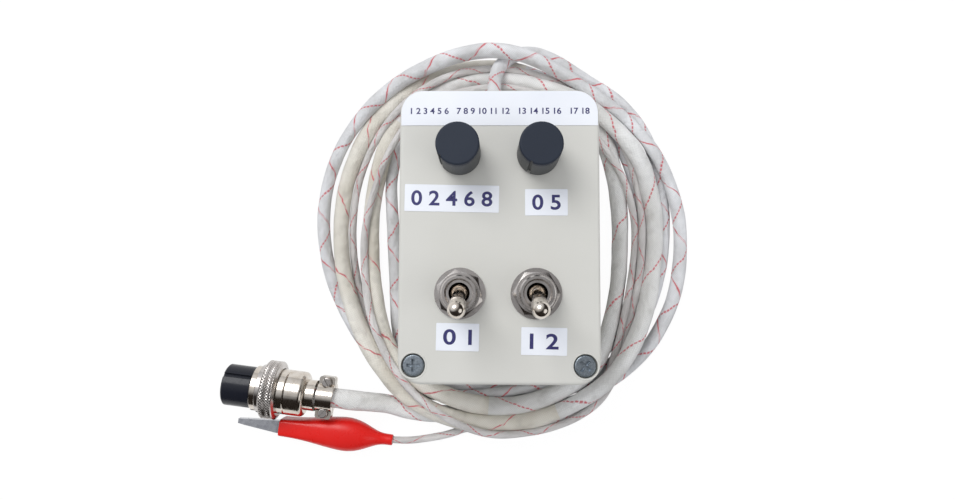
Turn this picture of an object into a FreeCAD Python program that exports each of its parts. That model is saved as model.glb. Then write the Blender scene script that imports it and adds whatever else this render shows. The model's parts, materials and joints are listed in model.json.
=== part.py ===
import FreeCAD, Part
import math
import os

# Hand-held engine control box: a moulded two-part case with two rotary controls,
# two bat-handle toggle switches, a sleeved cable coiled round the case, a round
# screw-locking connector and an earth lead with a sprung clip.
# Millimetres. Origin at the centre of the case's underside, +Z up out of the lid,
# +Y towards the cable end, +X to the right.

# Case
case_length = 100.0
case_width = 68.0
case_height = 50.0
corner_radius = 8.0
wall = 2.6
floor = 2.6
panel = 3.0
lid_depth = 12.0
edge_radius = 1.2
tongue_thickness = 1.1
tongue_height = 2.0
seam_clearance = 0.15
press_clearance = 0.02
running_clearance = 0.05

# Lid screws and their pillars
screw_side_inset = 5.25
screw_end_inset = 6.3
pillar_radius = 4.6
screw_radius = 2.0
screw_length = 22.0
screw_head_radius = 3.7
screw_head_height = 2.4
screw_head_sunk = 0.7
counterbore_gap = 0.35
recess_width = 1.1
recess_span = 4.4
recess_depth = 1.4

# Inside the case
standoff_spacing_x = 40.0
standoff_spacing_y = 60.0
standoff_radius = 2.8
standoff_bore = 1.1
standoff_height = 5.0
guide_rib_thickness = 1.2
guide_rib_depth = 1.6
guide_slot = 1.8
guide_spacing_y = 40.0

# Rotary controls: places on the panel, then parts
rotary_left_x = -13.5
rotary_right_x = 13.1
rotary_end_inset = 22.5
pot_can_radius = 8.2
pot_can_height = 7.5
pot_plate = 0.8
pot_thread_radius = 3.5
pot_thread_height = 6.5
pot_shaft_radius = 3.0
pot_shaft_depth = 2.4
pot_hole_clearance = 0.15
pot_nut_flats = 10.0
pot_nut_height = 2.2
pot_washer_radius = 5.9
pot_washer_height = 0.5
lug_width = 1.8
lug_thickness = 0.5
lug_length = 5.5
lug_pitch = 5.0
lug_block_depth = 3.0
lug_block_height = 3.2
lug_block_below = 2.6

# Knobs
knob_gap = 1.0
knob_height = 17.0
knob_base_radius = 7.2
knob_top_radius = 7.0
knob_wall = 1.15
knob_hub_radius = 4.3
knob_hub_start = 4.6
knob_roof = 1.5
cap_height = 2.3
cap_edge_radius = 0.6
cap_spigot_radius = 2.4
cap_spigot_height = 0.8
shaft_top_gap = 0.1
shaft_slot_width = 0.8
shaft_slot_depth = 6.0
pointer_width = 1.1
pointer_depth = 0.7
pointer_left_deg = 215.0
pointer_right_deg = 242.0

# Toggle switches: places on the panel, then parts
toggle_left_x = -13.2
toggle_right_x = 12.4
toggle_end_inset = 30.4
toggle_thread_radius = 6.0
toggle_thread_above = 8.6
toggle_bore_radius = 3.5
toggle_mouth_radius = 4.75
toggle_mouth_depth = 2.4
toggle_mouth_chamfer = 0.45
toggle_hole_clearance = 0.1
toggle_washer_radius = 8.6
toggle_washer_height = 0.8
toggle_nut_flats = 14.0
toggle_nut_height = 2.3
back_nut_height = 1.6
left_nut_turn_deg = -19.0
right_nut_turn_deg = 0.0
frame_thickness = 0.8
frame_flap = 9.0
housing_width = 16.8
housing_length = 27.0
housing_height = 16.0
housing_edge = 1.0
tag_width = 2.8
tag_thickness = 0.8
tag_length = 8.0
tag_pitch = 8.5
tag_hole_radius = 0.8
lever_pivot_above = 4.0
lever_tilt_deg = 15.0
lever_ball_radius = 3.2
lever_stem_radius = 2.1
lever_bat_radius = 2.8
lever_bat_start = 12.5
lever_length = 22.6
lever_tail_radius = 1.2
lever_tail_length = 5.2

# Printed strips on the panel: width, depth, turn, then the centre's place from its control
strip_thickness = 0.2
strip_corner = 0.3
title_depth = 11.9
title_inset = 0.5
throttle_strip = (32.0, 9.2, -1.0, -2.6, -15.0)
brake_strip = (14.4, 9.0, 0.0, 2.8, -16.3)
power_strip = (14.4, 9.2, -1.0, -0.7, -14.6)
reverse_strip = (15.3, 9.2, -1.0, 2.6, -15.9)

# Cable, its exit through the end wall and its coil
cable_radius = 3.5
cable_exit_x = -1.5
cable_exit_z = 20.0
cable_inside = 11.0
grommet_flange_radius = 7.0
grommet_flange = 1.6
grommet_neck_radius = 4.9
grommet_lip_radius = 6.1
grommet_lip = 1.6
tie_width = 3.6
tie_thickness = 1.2
tie_head = 4.6
coil_centre_x = 1.7
coil_centre_y = 5.0
coil_outer_x = 73.6
coil_outer_y = 77.2
coil_inner_x = 45.5
coil_inner_y = 57.5
coil_inner_centre_y = 3.5
coil_height = 15.0
coil_edge_radius = 5.0
coil_case_gap = 0.5
lead_radius = 1.35

# Round connector: distances are along its axis from its front face
plug_front_x = -105.2
plug_front_y = -54.8
plug_turn_deg = -7.1
insert_radius = 7.9
insert_length = 16.0
insert_chamfer = 0.5
insert_barrel = 10.8
insert_tail_radius = 7.5
keyway_width = 1.7
keyway_depth = 1.0
keyway_turn_deg = -35.0
contact_circle_radius = 4.2
contact_count = 4
contact_radius = 1.3
contact_bore = 0.75
contact_length = 9.0
contact_sunk = 1.2
shell_radius = 8.6
shell_bore = 6.8
shell_start = 11.0
shell_joint = 24.2
shell_joint_chamfer = 0.35
shell_shoulder = 31.5
shell_shoulder_radius = 1.8
neck_radius = 5.9
saddle_start = 35.0
saddle_end = 42.0
ring_start = 13.4
ring_band = 5.8
ring_length = 8.0
ring_radius = 11.25
ring_back_radius = 9.6
ring_groove_count = 44
ring_groove_depth = 0.35
ring_edge = 0.5
clamp_inset = 0.8
clamp_radius = 5.4
clamp_ear_reach = 8.1
clamp_ear_thickness = 1.5
saddle_ear_thickness = 2.2
clamp_split_gap = 0.5
clamp_screw_offset = 5.9
clamp_screw_radius = 1.0
clamp_screw_head_radius = 1.9
clamp_screw_head_height = 1.4
clamp_slot_width = 0.5
clamp_slot_depth = 0.6

# Sprung clip: distances are along it from its tip
clip_tip_x = -102.3
clip_tip_y = -69.6
clip_turn_deg = -6.8
clip_parting_z = 5.7
clip_sheet = 0.55
clip_upper_half = 2.4
clip_nest_gap = 0.1
clip_tip_half = 0.9
clip_nose_length = 16.0
clip_pivot = 20.5
clip_end = 45.0
clip_body_half = 3.1
clip_handle_half = 4.6
clip_ear_reach = 2.0
clip_ear_half = 2.1
clip_flange = 0.9
clip_tooth = 0.9
clip_tooth_count = 5
clip_pin_radius = 0.9
clip_pin_head_radius = 1.4
clip_pin_head = 0.35
spring_wire = 0.5
spring_width = 2.2
spring_leg_reach = 4.0
spring_leg_rise = 0.75
boot_wall = 0.55
boot_neck_length = 7.0
# Boot sections: distance from the tip, half width, half height, corner radius
boot_sections = [
    (17.3, 3.1, 5.0, 1.2),
    (25.0, 4.3, 5.1, 1.9),
    (33.0, 5.4, 5.3, 3.2),
    (43.2, 6.9, 5.7, 4.9),
    (49.6, 5.4, 4.9, 4.2),
    (54.5, 3.4, 3.3, 2.7),
    (58.0, 2.3, 2.3, 1.9),
    (61.6, 2.0, 2.0, 1.7),
]

# Worked out from the values above
screw_spacing_x = case_width - 2 * screw_side_inset
screw_spacing_y = case_length - 2 * screw_end_inset
rotary_y = case_length / 2 - rotary_end_inset
toggle_y = toggle_end_inset - case_length / 2
split_z = case_height - lid_depth
panel_under = case_height - panel
knob_base = case_height + knob_gap
shaft_top = knob_base + knob_height - cap_height - knob_roof - shaft_top_gap
cable_route_exit = [
    (cable_exit_x, case_length / 2 - cable_inside, cable_exit_z),
    (cable_exit_x, 57.5, cable_exit_z),
    (1.0, 67.5, 17.6),
    (9.0, 74.0, 13.6),
    (19.5, 75.0, 10.2),
]
wires_per_control = 2
wire_radius = 0.6


def vec(x, y, z):
    return FreeCAD.Vector(x, y, z)


X_AXIS = vec(1, 0, 0)
Y_AXIS = vec(0, 1, 0)
Z_AXIS = vec(0, 0, 1)


def cylinder(radius, z_low, z_high, x=0.0, y=0.0):
    """Upright cylinder between two heights."""
    return Part.makeCylinder(radius, z_high - z_low, vec(x, y, z_low))


def tube(outer, inner, z_low, z_high, x=0.0, y=0.0):
    """Upright tube between two heights."""
    return cylinder(outer, z_low, z_high, x, y).cut(cylinder(inner, z_low - 1, z_high + 1, x, y))


def block(x_low, x_high, y_low, y_high, z_low, z_high):
    """Box between two corners."""
    size = vec(x_high - x_low, y_high - y_low, z_high - z_low)
    return Part.makeBox(size.x, size.y, size.z, vec(x_low, y_low, z_low))


def rounded_wire(half_x, half_y, radius):
    """Rounded rectangle in the XY plane, centred on the origin."""
    edges = []
    corners = [(1, 1), (-1, 1), (-1, -1), (1, -1)]
    starts = []
    ends = []
    for sign_x, sign_y in corners:
        centre_x = sign_x * (half_x - radius)
        centre_y = sign_y * (half_y - radius)
        on_side = vec(centre_x + sign_x * radius, centre_y, 0)
        on_end = vec(centre_x, centre_y + sign_y * radius, 0)
        slant = radius / math.sqrt(2)
        middle = vec(centre_x + sign_x * slant, centre_y + sign_y * slant, 0)
        first, last = (on_side, on_end) if sign_x == sign_y else (on_end, on_side)
        edges.append((first, middle, last))
        starts.append(first)
        ends.append(last)
    parts = []
    for index, (first, middle, last) in enumerate(edges):
        parts.append(Part.Arc(first, middle, last).toShape())
        following = starts[(index + 1) % 4]
        parts.append(Part.LineSegment(last, following).toShape())
    return Part.Wire(parts)


def rounded_block(half_x, half_y, radius, z_low, z_high):
    """Upright block with rounded corners."""
    face = Part.Face(rounded_wire(half_x, half_y, radius))
    solid = face.extrude(vec(0, 0, z_high - z_low))
    solid.translate(vec(0, 0, z_low))
    return solid


def prism(points, direction):
    """Polygon swept along a vector."""
    face = Part.Face(Part.makePolygon(points + [points[0]]))
    return face.extrude(direction)


def turned(profile):
    """Closed profile of (radius, height) pairs turned about the Z axis."""
    points = [vec(radius, 0, height) for radius, height in profile]
    face = Part.Face(Part.makePolygon(points + [points[0]]))
    return face.revolve(vec(0, 0, 0), Z_AXIS, 360)


def hexagon(flats, bore, z_low, z_high, turn_deg, x, y):
    """Hexagon nut with its top corners chamfered."""
    corner = flats / math.sqrt(3)
    points = []
    for index in range(6):
        angle = math.radians(60 * index + turn_deg)
        points.append(vec(corner * math.cos(angle), corner * math.sin(angle), z_low))
    nut = prism(points, vec(0, 0, z_high - z_low))
    height = z_high - z_low
    bevel = corner - flats / 2 * 0.97
    cone = turned([
        (0, z_low - 1), (corner + 1, z_low - 1), (corner + 1, z_low + height - bevel),
        (corner, z_low + height - bevel * 0.6), (corner - bevel, z_high), (0, z_high),
    ])
    nut = nut.common(cone)
    nut = nut.cut(cylinder(bore, z_low - 1, z_high + 1))
    nut.translate(vec(x, y, 0))
    return nut


def along_y(shape, x, y, z):
    """Stand a shape made along +Z so that it runs along +Y from a point."""
    placed = shape.copy()
    placed.rotate(vec(0, 0, 0), X_AXIS, -90)
    placed.translate(vec(x, y, z))
    return placed


def four_corners(spacing_x, spacing_y):
    """Centres of a rectangular pattern."""
    return [(sx * spacing_x / 2, sy * spacing_y / 2) for sx in (-1, 1) for sy in (-1, 1)]


def edges_at_height(shape, height):
    """Edges of a shape that lie in one level plane."""
    found = []
    for edge in shape.Edges:
        box = edge.BoundBox
        if abs(box.ZMin - height) < 1e-4 and abs(box.ZMax - height) < 1e-4:
            found.append(edge)
    return found


def route_wire(points, name):
    """Straight runs joined by tangent arcs, each as large as its two runs allow."""
    knots = [vec(*point) for point in points]
    pieces = []
    radii = []
    start = knots[0]
    for index in range(1, len(knots) - 1):
        before = knots[index].sub(knots[index - 1])
        after = knots[index + 1].sub(knots[index])
        reach = 0.45 * min(before.Length, after.Length)
        before.normalize()
        after.normalize()
        half_turn = before.getAngle(after) / 2
        radius = reach / math.tan(half_turn)
        radii.append(radius)
        inward = after.sub(before)
        inward.normalize()
        centre = knots[index].add(inward * (radius / math.cos(half_turn)))
        first = knots[index].sub(before * reach)
        middle = centre.sub(inward * radius)
        last = knots[index].add(after * reach)
        pieces.append(Part.LineSegment(start, first).toShape())
        pieces.append(Part.Arc(first, middle, last).toShape())
        start = last
    pieces.append(Part.LineSegment(start, knots[-1]).toShape())
    wire = Part.Wire(pieces)
    print(name, "length", round(wire.Length, 1), "radii", [round(r, 1) for r in radii])
    return wire


def route_tube(points, radius, name):
    """Round tube along a route."""
    wire = route_wire(points, name)
    heading = vec(*points[1]).sub(vec(*points[0]))
    circle = Part.Wire(Part.makeCircle(radius, vec(*points[0]), heading))
    solid = wire.makePipeShell([circle], True, False)
    expected = math.pi * radius * radius * wire.Length
    print(name, "volume ratio", round(solid.Volume / expected, 4))
    return solid


# Case shells

def case_outline(inset, z_low, z_high):
    """Block with the case's outline, set in from its outside."""
    return rounded_block(case_width / 2 - inset, case_length / 2 - inset, corner_radius - inset,
                         z_low, z_high)


def guide_ribs():
    """Pairs of upright ribs that hold a board's edge against the long walls."""
    ribs = []
    inner = case_width / 2 - wall
    for side in (-1, 1):
        for row in (-1, 1):
            for edge in (-1, 1):
                centre = row * guide_spacing_y / 2 + edge * (guide_slot + guide_rib_thickness) / 2
                root = side * (inner + wall / 4)
                tip = side * (inner - guide_rib_depth)
                ribs.append(block(min(root, tip), max(root, tip), centre - guide_rib_thickness / 2,
                                  centre + guide_rib_thickness / 2, floor - wall / 4,
                                  split_z - tongue_height))
    return ribs


def base_shell():
    """Lower shell: floor, walls, screw pillars, board posts, guide ribs and seam tongue."""
    body = case_outline(0, 0, split_z)
    body = body.makeFillet(edge_radius, edges_at_height(body, 0))
    body = body.cut(case_outline(wall, floor, split_z + 1))
    tongue = case_outline(wall - tongue_thickness, split_z - seam_clearance, split_z + tongue_height)
    tongue = tongue.cut(case_outline(wall, floor, case_height))
    for x, y in four_corners(screw_spacing_x, screw_spacing_y):
        tongue = tongue.cut(cylinder(pillar_radius + seam_clearance, floor, case_height, x, y))
        body = body.fuse(cylinder(pillar_radius, floor / 2, split_z, x, y))
    body = body.fuse(tongue)
    for x, y in four_corners(standoff_spacing_x, standoff_spacing_y):
        body = body.fuse(cylinder(standoff_radius, floor / 2, floor + standoff_height, x, y))
    for rib in guide_ribs():
        body = body.fuse(rib)
    screw_tip = case_height - screw_head_sunk - screw_head_height - screw_length
    for x, y in four_corners(screw_spacing_x, screw_spacing_y):
        body = body.cut(cylinder(screw_radius + press_clearance, screw_tip - 1, split_z + 1, x, y))
    for x, y in four_corners(standoff_spacing_x, standoff_spacing_y):
        body = body.cut(cylinder(standoff_bore, floor, floor + standoff_height + 1, x, y))
    hole = cylinder(grommet_neck_radius + press_clearance, 0, 3 * wall)
    body = body.cut(along_y(hole, cable_exit_x, case_length / 2 - 2 * wall, cable_exit_z))
    return body.removeSplitter()


def lid():
    """Upper shell: panel, skirt, screw bosses and the holes for the controls."""
    body = case_outline(0, split_z, case_height)
    body = body.makeFillet(edge_radius, edges_at_height(body, case_height))
    body = body.cut(case_outline(wall, split_z - 1, panel_under))
    groove_inset = wall - tongue_thickness - seam_clearance
    body = body.cut(case_outline(groove_inset, split_z - 1, split_z + tongue_height + seam_clearance))
    for x, y in four_corners(screw_spacing_x, screw_spacing_y):
        body = body.fuse(cylinder(pillar_radius, split_z, panel_under + panel / 2, x, y))
    seat = case_height - screw_head_sunk - screw_head_height
    for x, y in four_corners(screw_spacing_x, screw_spacing_y):
        body = body.cut(cylinder(screw_radius + seam_clearance, split_z - 1, case_height + 1, x, y))
        body = body.cut(cylinder(screw_head_radius + counterbore_gap, seat, case_height + 1, x, y))
    for x in (rotary_left_x, rotary_right_x):
        hole_radius = pot_thread_radius + pot_hole_clearance
        body = body.cut(cylinder(hole_radius, panel_under - 1, case_height + 1, x, rotary_y))
    for x in (toggle_left_x, toggle_right_x):
        hole_radius = toggle_thread_radius + toggle_hole_clearance
        body = body.cut(cylinder(hole_radius, panel_under - 1, case_height + 1, x, toggle_y))
    return body.removeSplitter()


def lid_screws():
    """Four cross-recess screws, their heads sunk in the lid."""
    top = case_height - screw_head_sunk
    seat = top - screw_head_height
    head = cylinder(screw_head_radius, seat, top)
    head = head.makeFillet(screw_head_height / 4, edges_at_height(head, top))
    screw = head.fuse(cylinder(screw_radius, seat - screw_length, seat + screw_head_height / 2))
    half = recess_span / 2
    for size_x, size_y in ((half, recess_width / 2), (recess_width / 2, half)):
        screw = screw.cut(block(-size_x, size_x, -size_y, size_y, top - recess_depth, top + 1))
    screws = []
    for index, (x, y) in enumerate(four_corners(screw_spacing_x, screw_spacing_y)):
        placed = screw.copy()
        placed.rotate(vec(0, 0, 0), Z_AXIS, 25 * index)
        placed.translate(vec(x, y, 0))
        screws.append(placed)
    return screws


def title_strip():
    """Strip across the cable end of the panel, trimmed to the lid's corners."""
    low_y = case_length / 2 - title_inset - title_depth
    area = block(-case_width, case_width, low_y, case_length, case_height, case_height + 1)
    outline = case_outline(title_inset, case_height, case_height + strip_thickness)
    return outline.common(area)


def control_strips():
    """The four strips beside the controls."""
    strips = []
    placed = ((throttle_strip, rotary_left_x, rotary_y), (brake_strip, rotary_right_x, rotary_y),
              (power_strip, toggle_left_x, toggle_y), (reverse_strip, toggle_right_x, toggle_y))
    for (width, depth, turn_deg, across, along), control_x, control_y in placed:
        strip = rounded_block(width / 2, depth / 2, strip_corner, case_height,
                              case_height + strip_thickness)
        strip.rotate(vec(0, 0, 0), Z_AXIS, turn_deg)
        strip.translate(vec(control_x + across, control_y + along, 0))
        strips.append(strip)
    return strips


# Rotary controls

def pot_bushing(x):
    """Mounting plate and threaded bushing of a rotary control."""
    plate_low = panel_under - pot_plate
    plate = cylinder(pot_can_radius, plate_low, panel_under, x, rotary_y)
    thread = cylinder(pot_thread_radius, plate_low, panel_under + pot_thread_height, x, rotary_y)
    thread = thread.makeChamfer(pot_thread_radius / 10,
                                edges_at_height(thread, panel_under + pot_thread_height))
    bore = cylinder(pot_shaft_radius + running_clearance, 0, case_height * 2, x, rotary_y)
    return plate.fuse(thread).cut(bore).removeSplitter()


def pot_body(x):
    """Can of a rotary control with the block that carries its lugs."""
    top = panel_under - pot_plate
    low = top - pot_can_height
    can = cylinder(pot_can_radius, low, top, x, rotary_y)
    can = can.makeFillet(pot_plate, edges_at_height(can, low))
    half = lug_pitch + lug_width
    low_block = top - lug_block_below - lug_block_height
    carrier = block(x - half, x + half, rotary_y - pot_can_radius - lug_block_depth, rotary_y,
                    low_block, low_block + lug_block_height)
    well = cylinder(pot_shaft_radius + running_clearance, top - pot_shaft_depth - shaft_top_gap,
                    top + 1, x, rotary_y)
    return can.fuse(carrier).cut(well).removeSplitter()


def pot_lug_places():
    """Centre of each lug's free end on the rotary controls."""
    level = panel_under - pot_plate - lug_block_below - lug_block_height / 2
    tip_y = rotary_y - pot_can_radius - lug_block_depth - lug_length
    places = []
    for x in (rotary_left_x, rotary_right_x):
        for step in (-1, 0, 1):
            places.append((x + step * lug_pitch, tip_y, level))
    return places


def pot_lugs():
    """Solder lugs of both rotary controls."""
    lugs = []
    for x, tip_y, level in pot_lug_places():
        lugs.append(block(x - lug_width / 2, x + lug_width / 2, tip_y, tip_y + lug_length,
                          level - lug_thickness / 2, level + lug_thickness / 2))
    return lugs


def pot_shaft(x):
    """Control shaft with a split top."""
    low = panel_under - pot_plate - pot_shaft_depth
    shaft = cylinder(pot_shaft_radius, low, shaft_top, x, rotary_y)
    shaft = shaft.makeChamfer(pot_shaft_radius / 10, edges_at_height(shaft, shaft_top))
    slot = block(x - pot_shaft_radius - 1, x + pot_shaft_radius + 1,
                 rotary_y - shaft_slot_width / 2, rotary_y + shaft_slot_width / 2,
                 shaft_top - shaft_slot_depth, shaft_top + 1)
    return shaft.cut(slot)


def pot_washers():
    """Washers under the rotary controls' nuts."""
    low = case_height
    high = low + pot_washer_height
    inner = pot_thread_radius + press_clearance
    return [tube(pot_washer_radius, inner, low, high, x, rotary_y)
            for x in (rotary_left_x, rotary_right_x)]


def pot_nuts():
    """Panel nuts of the rotary controls, hidden in the knobs."""
    low = case_height + pot_washer_height
    high = low + pot_nut_height
    bore = pot_thread_radius + press_clearance
    return [hexagon(pot_nut_flats, bore, low, high, 10, x, rotary_y)
            for x in (rotary_left_x, rotary_right_x)]


def knob(x, pointer_deg):
    """Knob shell with its inner hub, pressed on the shaft."""
    roof_top = knob_height - cap_height
    shrink = (knob_base_radius - knob_top_radius) / knob_height
    roof_radius = knob_base_radius - shrink * roof_top
    outer = turned([(0, 0), (knob_base_radius, 0), (roof_radius, roof_top), (0, roof_top)])
    roof_low = roof_top - knob_roof
    hollow = cylinder(knob_top_radius - knob_wall, -1, roof_low)
    hollow = hollow.cut(cylinder(knob_hub_radius, knob_hub_start, roof_low + 1))
    body = outer.cut(hollow)
    body = body.cut(cylinder(pot_shaft_radius + press_clearance, 0, roof_low))
    body = body.cut(cylinder(cap_spigot_radius + press_clearance, roof_top - cap_spigot_height,
                             roof_top + 1))
    pointer = block(knob_top_radius - pointer_depth, knob_base_radius + 1, -pointer_width / 2,
                    pointer_width / 2, -1, roof_top + 1)
    pointer.rotate(vec(0, 0, 0), Z_AXIS, pointer_deg)
    body = body.cut(pointer)
    body.translate(vec(x, rotary_y, knob_base))
    return body


def knob_cap(x, pointer_deg):
    """Flat cap that closes the knob, notched at the pointer."""
    low = knob_height - cap_height
    cap = cylinder(knob_top_radius, low, knob_height)
    cap = cap.makeFillet(cap_edge_radius, edges_at_height(cap, knob_height))
    notch = cylinder(pointer_width / 2, low - 1, knob_height + 1, knob_top_radius, 0)
    notch.rotate(vec(0, 0, 0), Z_AXIS, pointer_deg)
    cap = cap.cut(notch)
    cap = cap.fuse(cylinder(cap_spigot_radius, low - cap_spigot_height, low + cap_height / 2))
    cap.translate(vec(x, rotary_y, knob_base))
    return cap


# Toggle switches

toggle_frame_top = panel_under - back_nut_height
toggle_frame_low = toggle_frame_top - frame_thickness
lever_pivot_z = case_height + lever_pivot_above


def toggle_bushing(x):
    """Threaded bushing with a stepped mouth round the lever."""
    top = case_height + toggle_thread_above
    body = cylinder(toggle_thread_radius, toggle_frame_low, top)
    body = body.makeChamfer(toggle_mouth_chamfer, edges_at_height(body, top))
    body = body.cut(cylinder(toggle_bore_radius, toggle_frame_low - 1, top + 1))
    mouth_low = top - toggle_mouth_depth
    mouth = turned([
        (0, mouth_low), (toggle_mouth_radius - toggle_mouth_chamfer, mouth_low),
        (toggle_mouth_radius, top + 0.01), (0, top + 0.01),
    ])
    body = body.cut(mouth)
    body.translate(vec(x, toggle_y, 0))
    return body


def toggle_washers():
    """Flat washers under the toggle nuts."""
    inner = toggle_thread_radius + press_clearance
    washers = []
    for x in (toggle_left_x, toggle_right_x):
        ring = tube(toggle_washer_radius, inner, case_height, case_height + toggle_washer_height,
                    x, toggle_y)
        washers.append(ring)
    return washers


def toggle_nuts():
    """Hexagon nuts that clamp the switches from above."""
    low = case_height + toggle_washer_height
    high = low + toggle_nut_height
    bore = toggle_thread_radius + press_clearance
    places = ((toggle_left_x, left_nut_turn_deg), (toggle_right_x, right_nut_turn_deg))
    return [hexagon(toggle_nut_flats, bore, low, high, turn, x, toggle_y) for x, turn in places]


def toggle_back_nuts():
    """Hexagon nuts between the panel and the switch frames."""
    bore = toggle_thread_radius + press_clearance
    return [hexagon(toggle_nut_flats, bore, toggle_frame_top, panel_under, 0, x, toggle_y)
            for x in (toggle_left_x, toggle_right_x)]


def toggle_frame(x):
    """Sheet steel frame folded down over both ends of the switch housing."""
    half_x = housing_width / 2
    half_y = housing_length / 2 + frame_thickness
    plate = block(-half_x, half_x, -half_y, half_y, toggle_frame_low, toggle_frame_top)
    for side in (-1, 1):
        outer = side * half_y
        inner = side * housing_length / 2
        flap = block(-half_x / 2, half_x / 2, min(outer, inner), max(outer, inner),
                     toggle_frame_low - frame_flap, toggle_frame_top)
        plate = plate.fuse(flap)
    plate = plate.cut(cylinder(toggle_thread_radius + press_clearance, 0, case_height))
    plate = plate.removeSplitter()
    plate.translate(vec(x, toggle_y, 0))
    return plate


def toggle_housing(x):
    """Moulded switch housing."""
    half_x = housing_width / 2
    half_y = housing_length / 2
    low = toggle_frame_low - housing_height
    body = block(-half_x, half_x, -half_y, half_y, low, toggle_frame_low)
    body = body.makeChamfer(housing_edge, edges_at_height(body, low))
    body.translate(vec(x, toggle_y, 0))
    return body


def toggle_tag_places():
    """Centre of each tag's free end under the switches."""
    low = toggle_frame_low - housing_height - tag_length
    places = []
    for x in (toggle_left_x, toggle_right_x):
        for step in (-1, 0, 1):
            places.append((x, toggle_y + step * tag_pitch, low))
    return places


def toggle_tags():
    """Solder tags under both switches."""
    tags = []
    for x, y, low in toggle_tag_places():
        tag = block(x - tag_width / 2, x + tag_width / 2, y - tag_thickness / 2,
                    y + tag_thickness / 2, low, low + tag_length)
        hole = along_y(cylinder(tag_hole_radius, -1, 1), x, y, low + tag_length / 3)
        tags.append(tag.cut(hole))
    return tags


def toggle_lever(x):
    """Bat-shaped lever with its pivot ball, thrown towards -Y."""
    def on_ball(angle_deg):
        angle = math.radians(angle_deg)
        return vec(lever_ball_radius * math.cos(angle), 0, lever_ball_radius * math.sin(angle))

    tail_deg = -math.degrees(math.acos(lever_tail_radius / lever_ball_radius))
    stem_deg = math.degrees(math.acos(lever_stem_radius / lever_ball_radius))
    swell = lever_bat_radius - lever_stem_radius
    dome = lever_bat_radius * 0.75
    foot = vec(0, 0, -lever_tail_length)
    tail = vec(lever_tail_radius, 0, -lever_tail_length)
    stem = vec(lever_stem_radius, 0, lever_bat_start - lever_bat_radius)
    neck = vec(lever_stem_radius + swell * 0.62, 0, lever_bat_start - lever_bat_radius * 0.1)
    shoulder = vec(lever_bat_radius, 0, lever_bat_start + lever_bat_radius)
    dome_start = vec(lever_bat_radius, 0, lever_length - dome)
    dome_radius = (lever_bat_radius ** 2 + dome ** 2) / (2 * dome)
    half_spread = math.asin(lever_bat_radius / dome_radius) / 2
    dome_middle = vec(dome_radius * math.sin(half_spread), 0,
                      lever_length - dome_radius * (1 - math.cos(half_spread)))
    top = vec(0, 0, lever_length)
    outline = [
        Part.LineSegment(foot, tail),
        Part.LineSegment(tail, on_ball(tail_deg)),
        Part.Arc(on_ball(tail_deg), on_ball(0), on_ball(stem_deg)),
        Part.LineSegment(on_ball(stem_deg), stem),
        Part.Arc(stem, neck, shoulder),
        Part.LineSegment(shoulder, dome_start),
        Part.Arc(dome_start, dome_middle, top),
        Part.LineSegment(top, foot),
    ]
    profile = Part.Face(Part.Wire([piece.toShape() for piece in outline]))
    lever = profile.revolve(vec(0, 0, 0), Z_AXIS, 360)
    lever.rotate(vec(0, 0, 0), X_AXIS, lever_tilt_deg)
    lever.translate(vec(x, toggle_y, lever_pivot_z))
    return lever


# Cable end of the case

def cable_grommet():
    """Rubber grommet in the end wall."""
    inner_face = case_length / 2 - wall
    profile = [
        (cable_radius + press_clearance, -grommet_lip), (grommet_lip_radius, -grommet_lip),
        (grommet_lip_radius, 0), (grommet_neck_radius, 0), (grommet_neck_radius, wall),
        (grommet_flange_radius, wall), (grommet_flange_radius - grommet_flange / 3,
                                        wall + grommet_flange),
        (cable_radius + press_clearance, wall + grommet_flange),
    ]
    return along_y(turned(profile), cable_exit_x, inner_face, cable_exit_z)


def cable_tie():
    """Tie drawn tight on the cable inside the case, so that it can't pull out."""
    start = case_length / 2 - wall - grommet_lip - tie_width
    band = tube(cable_radius + press_clearance + tie_thickness, cable_radius + press_clearance,
                0, tie_width)
    reach = cable_radius + tie_thickness
    head = block(-tie_head / 2, tie_head / 2, reach / 2, reach + tie_head / 2, 0, tie_width)
    head = head.cut(cylinder(cable_radius + press_clearance, -1, tie_width + 1))
    return along_y(band.fuse(head).removeSplitter(), cable_exit_x, start, cable_exit_z)


def cable_coil():
    """Outer shape of the coiled cable, open in the middle and clear of the case."""
    def ellipse_block(half_x, half_y, centre_y, z_low, z_high):
        centre = vec(coil_centre_x, centre_y, z_low)
        if half_x > half_y:
            curve = Part.Ellipse(centre, half_x, half_y)
        else:
            tip_y = vec(coil_centre_x, centre_y + half_y, z_low)
            tip_x = vec(coil_centre_x - half_x, centre_y, z_low)
            curve = Part.Ellipse(tip_y, tip_x, centre)
        return Part.Face(Part.Wire(curve.toShape())).extrude(vec(0, 0, z_high - z_low))

    body = ellipse_block(coil_outer_x, coil_outer_y, coil_centre_y, 0, coil_height)
    rims = edges_at_height(body, 0) + edges_at_height(body, coil_height)
    body = body.makeFillet(coil_edge_radius, rims)
    body = body.cut(ellipse_block(coil_inner_x, coil_inner_y, coil_inner_centre_y, -1,
                                  coil_height + 1))
    body = body.cut(case_outline(-coil_case_gap, -1, coil_height + 1))
    for end in (cable_exit(), cable_tail(), clip_lead()):
        body = body.cut(end)
    return body


def plug_point(distance):
    """Place of a point on the connector's axis, a distance behind its front face."""
    turn = math.radians(plug_turn_deg)
    x = plug_front_x + distance * math.cos(turn)
    y = plug_front_y + distance * math.sin(turn)
    return (x, y, ring_radius)


def clip_point(distance):
    """Place of a point on the clip's centre line, a distance behind its tip."""
    turn = math.radians(clip_turn_deg)
    x = clip_tip_x + distance * math.cos(turn)
    y = clip_tip_y + distance * math.sin(turn)
    return (x, y, clip_parting_z)


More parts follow.
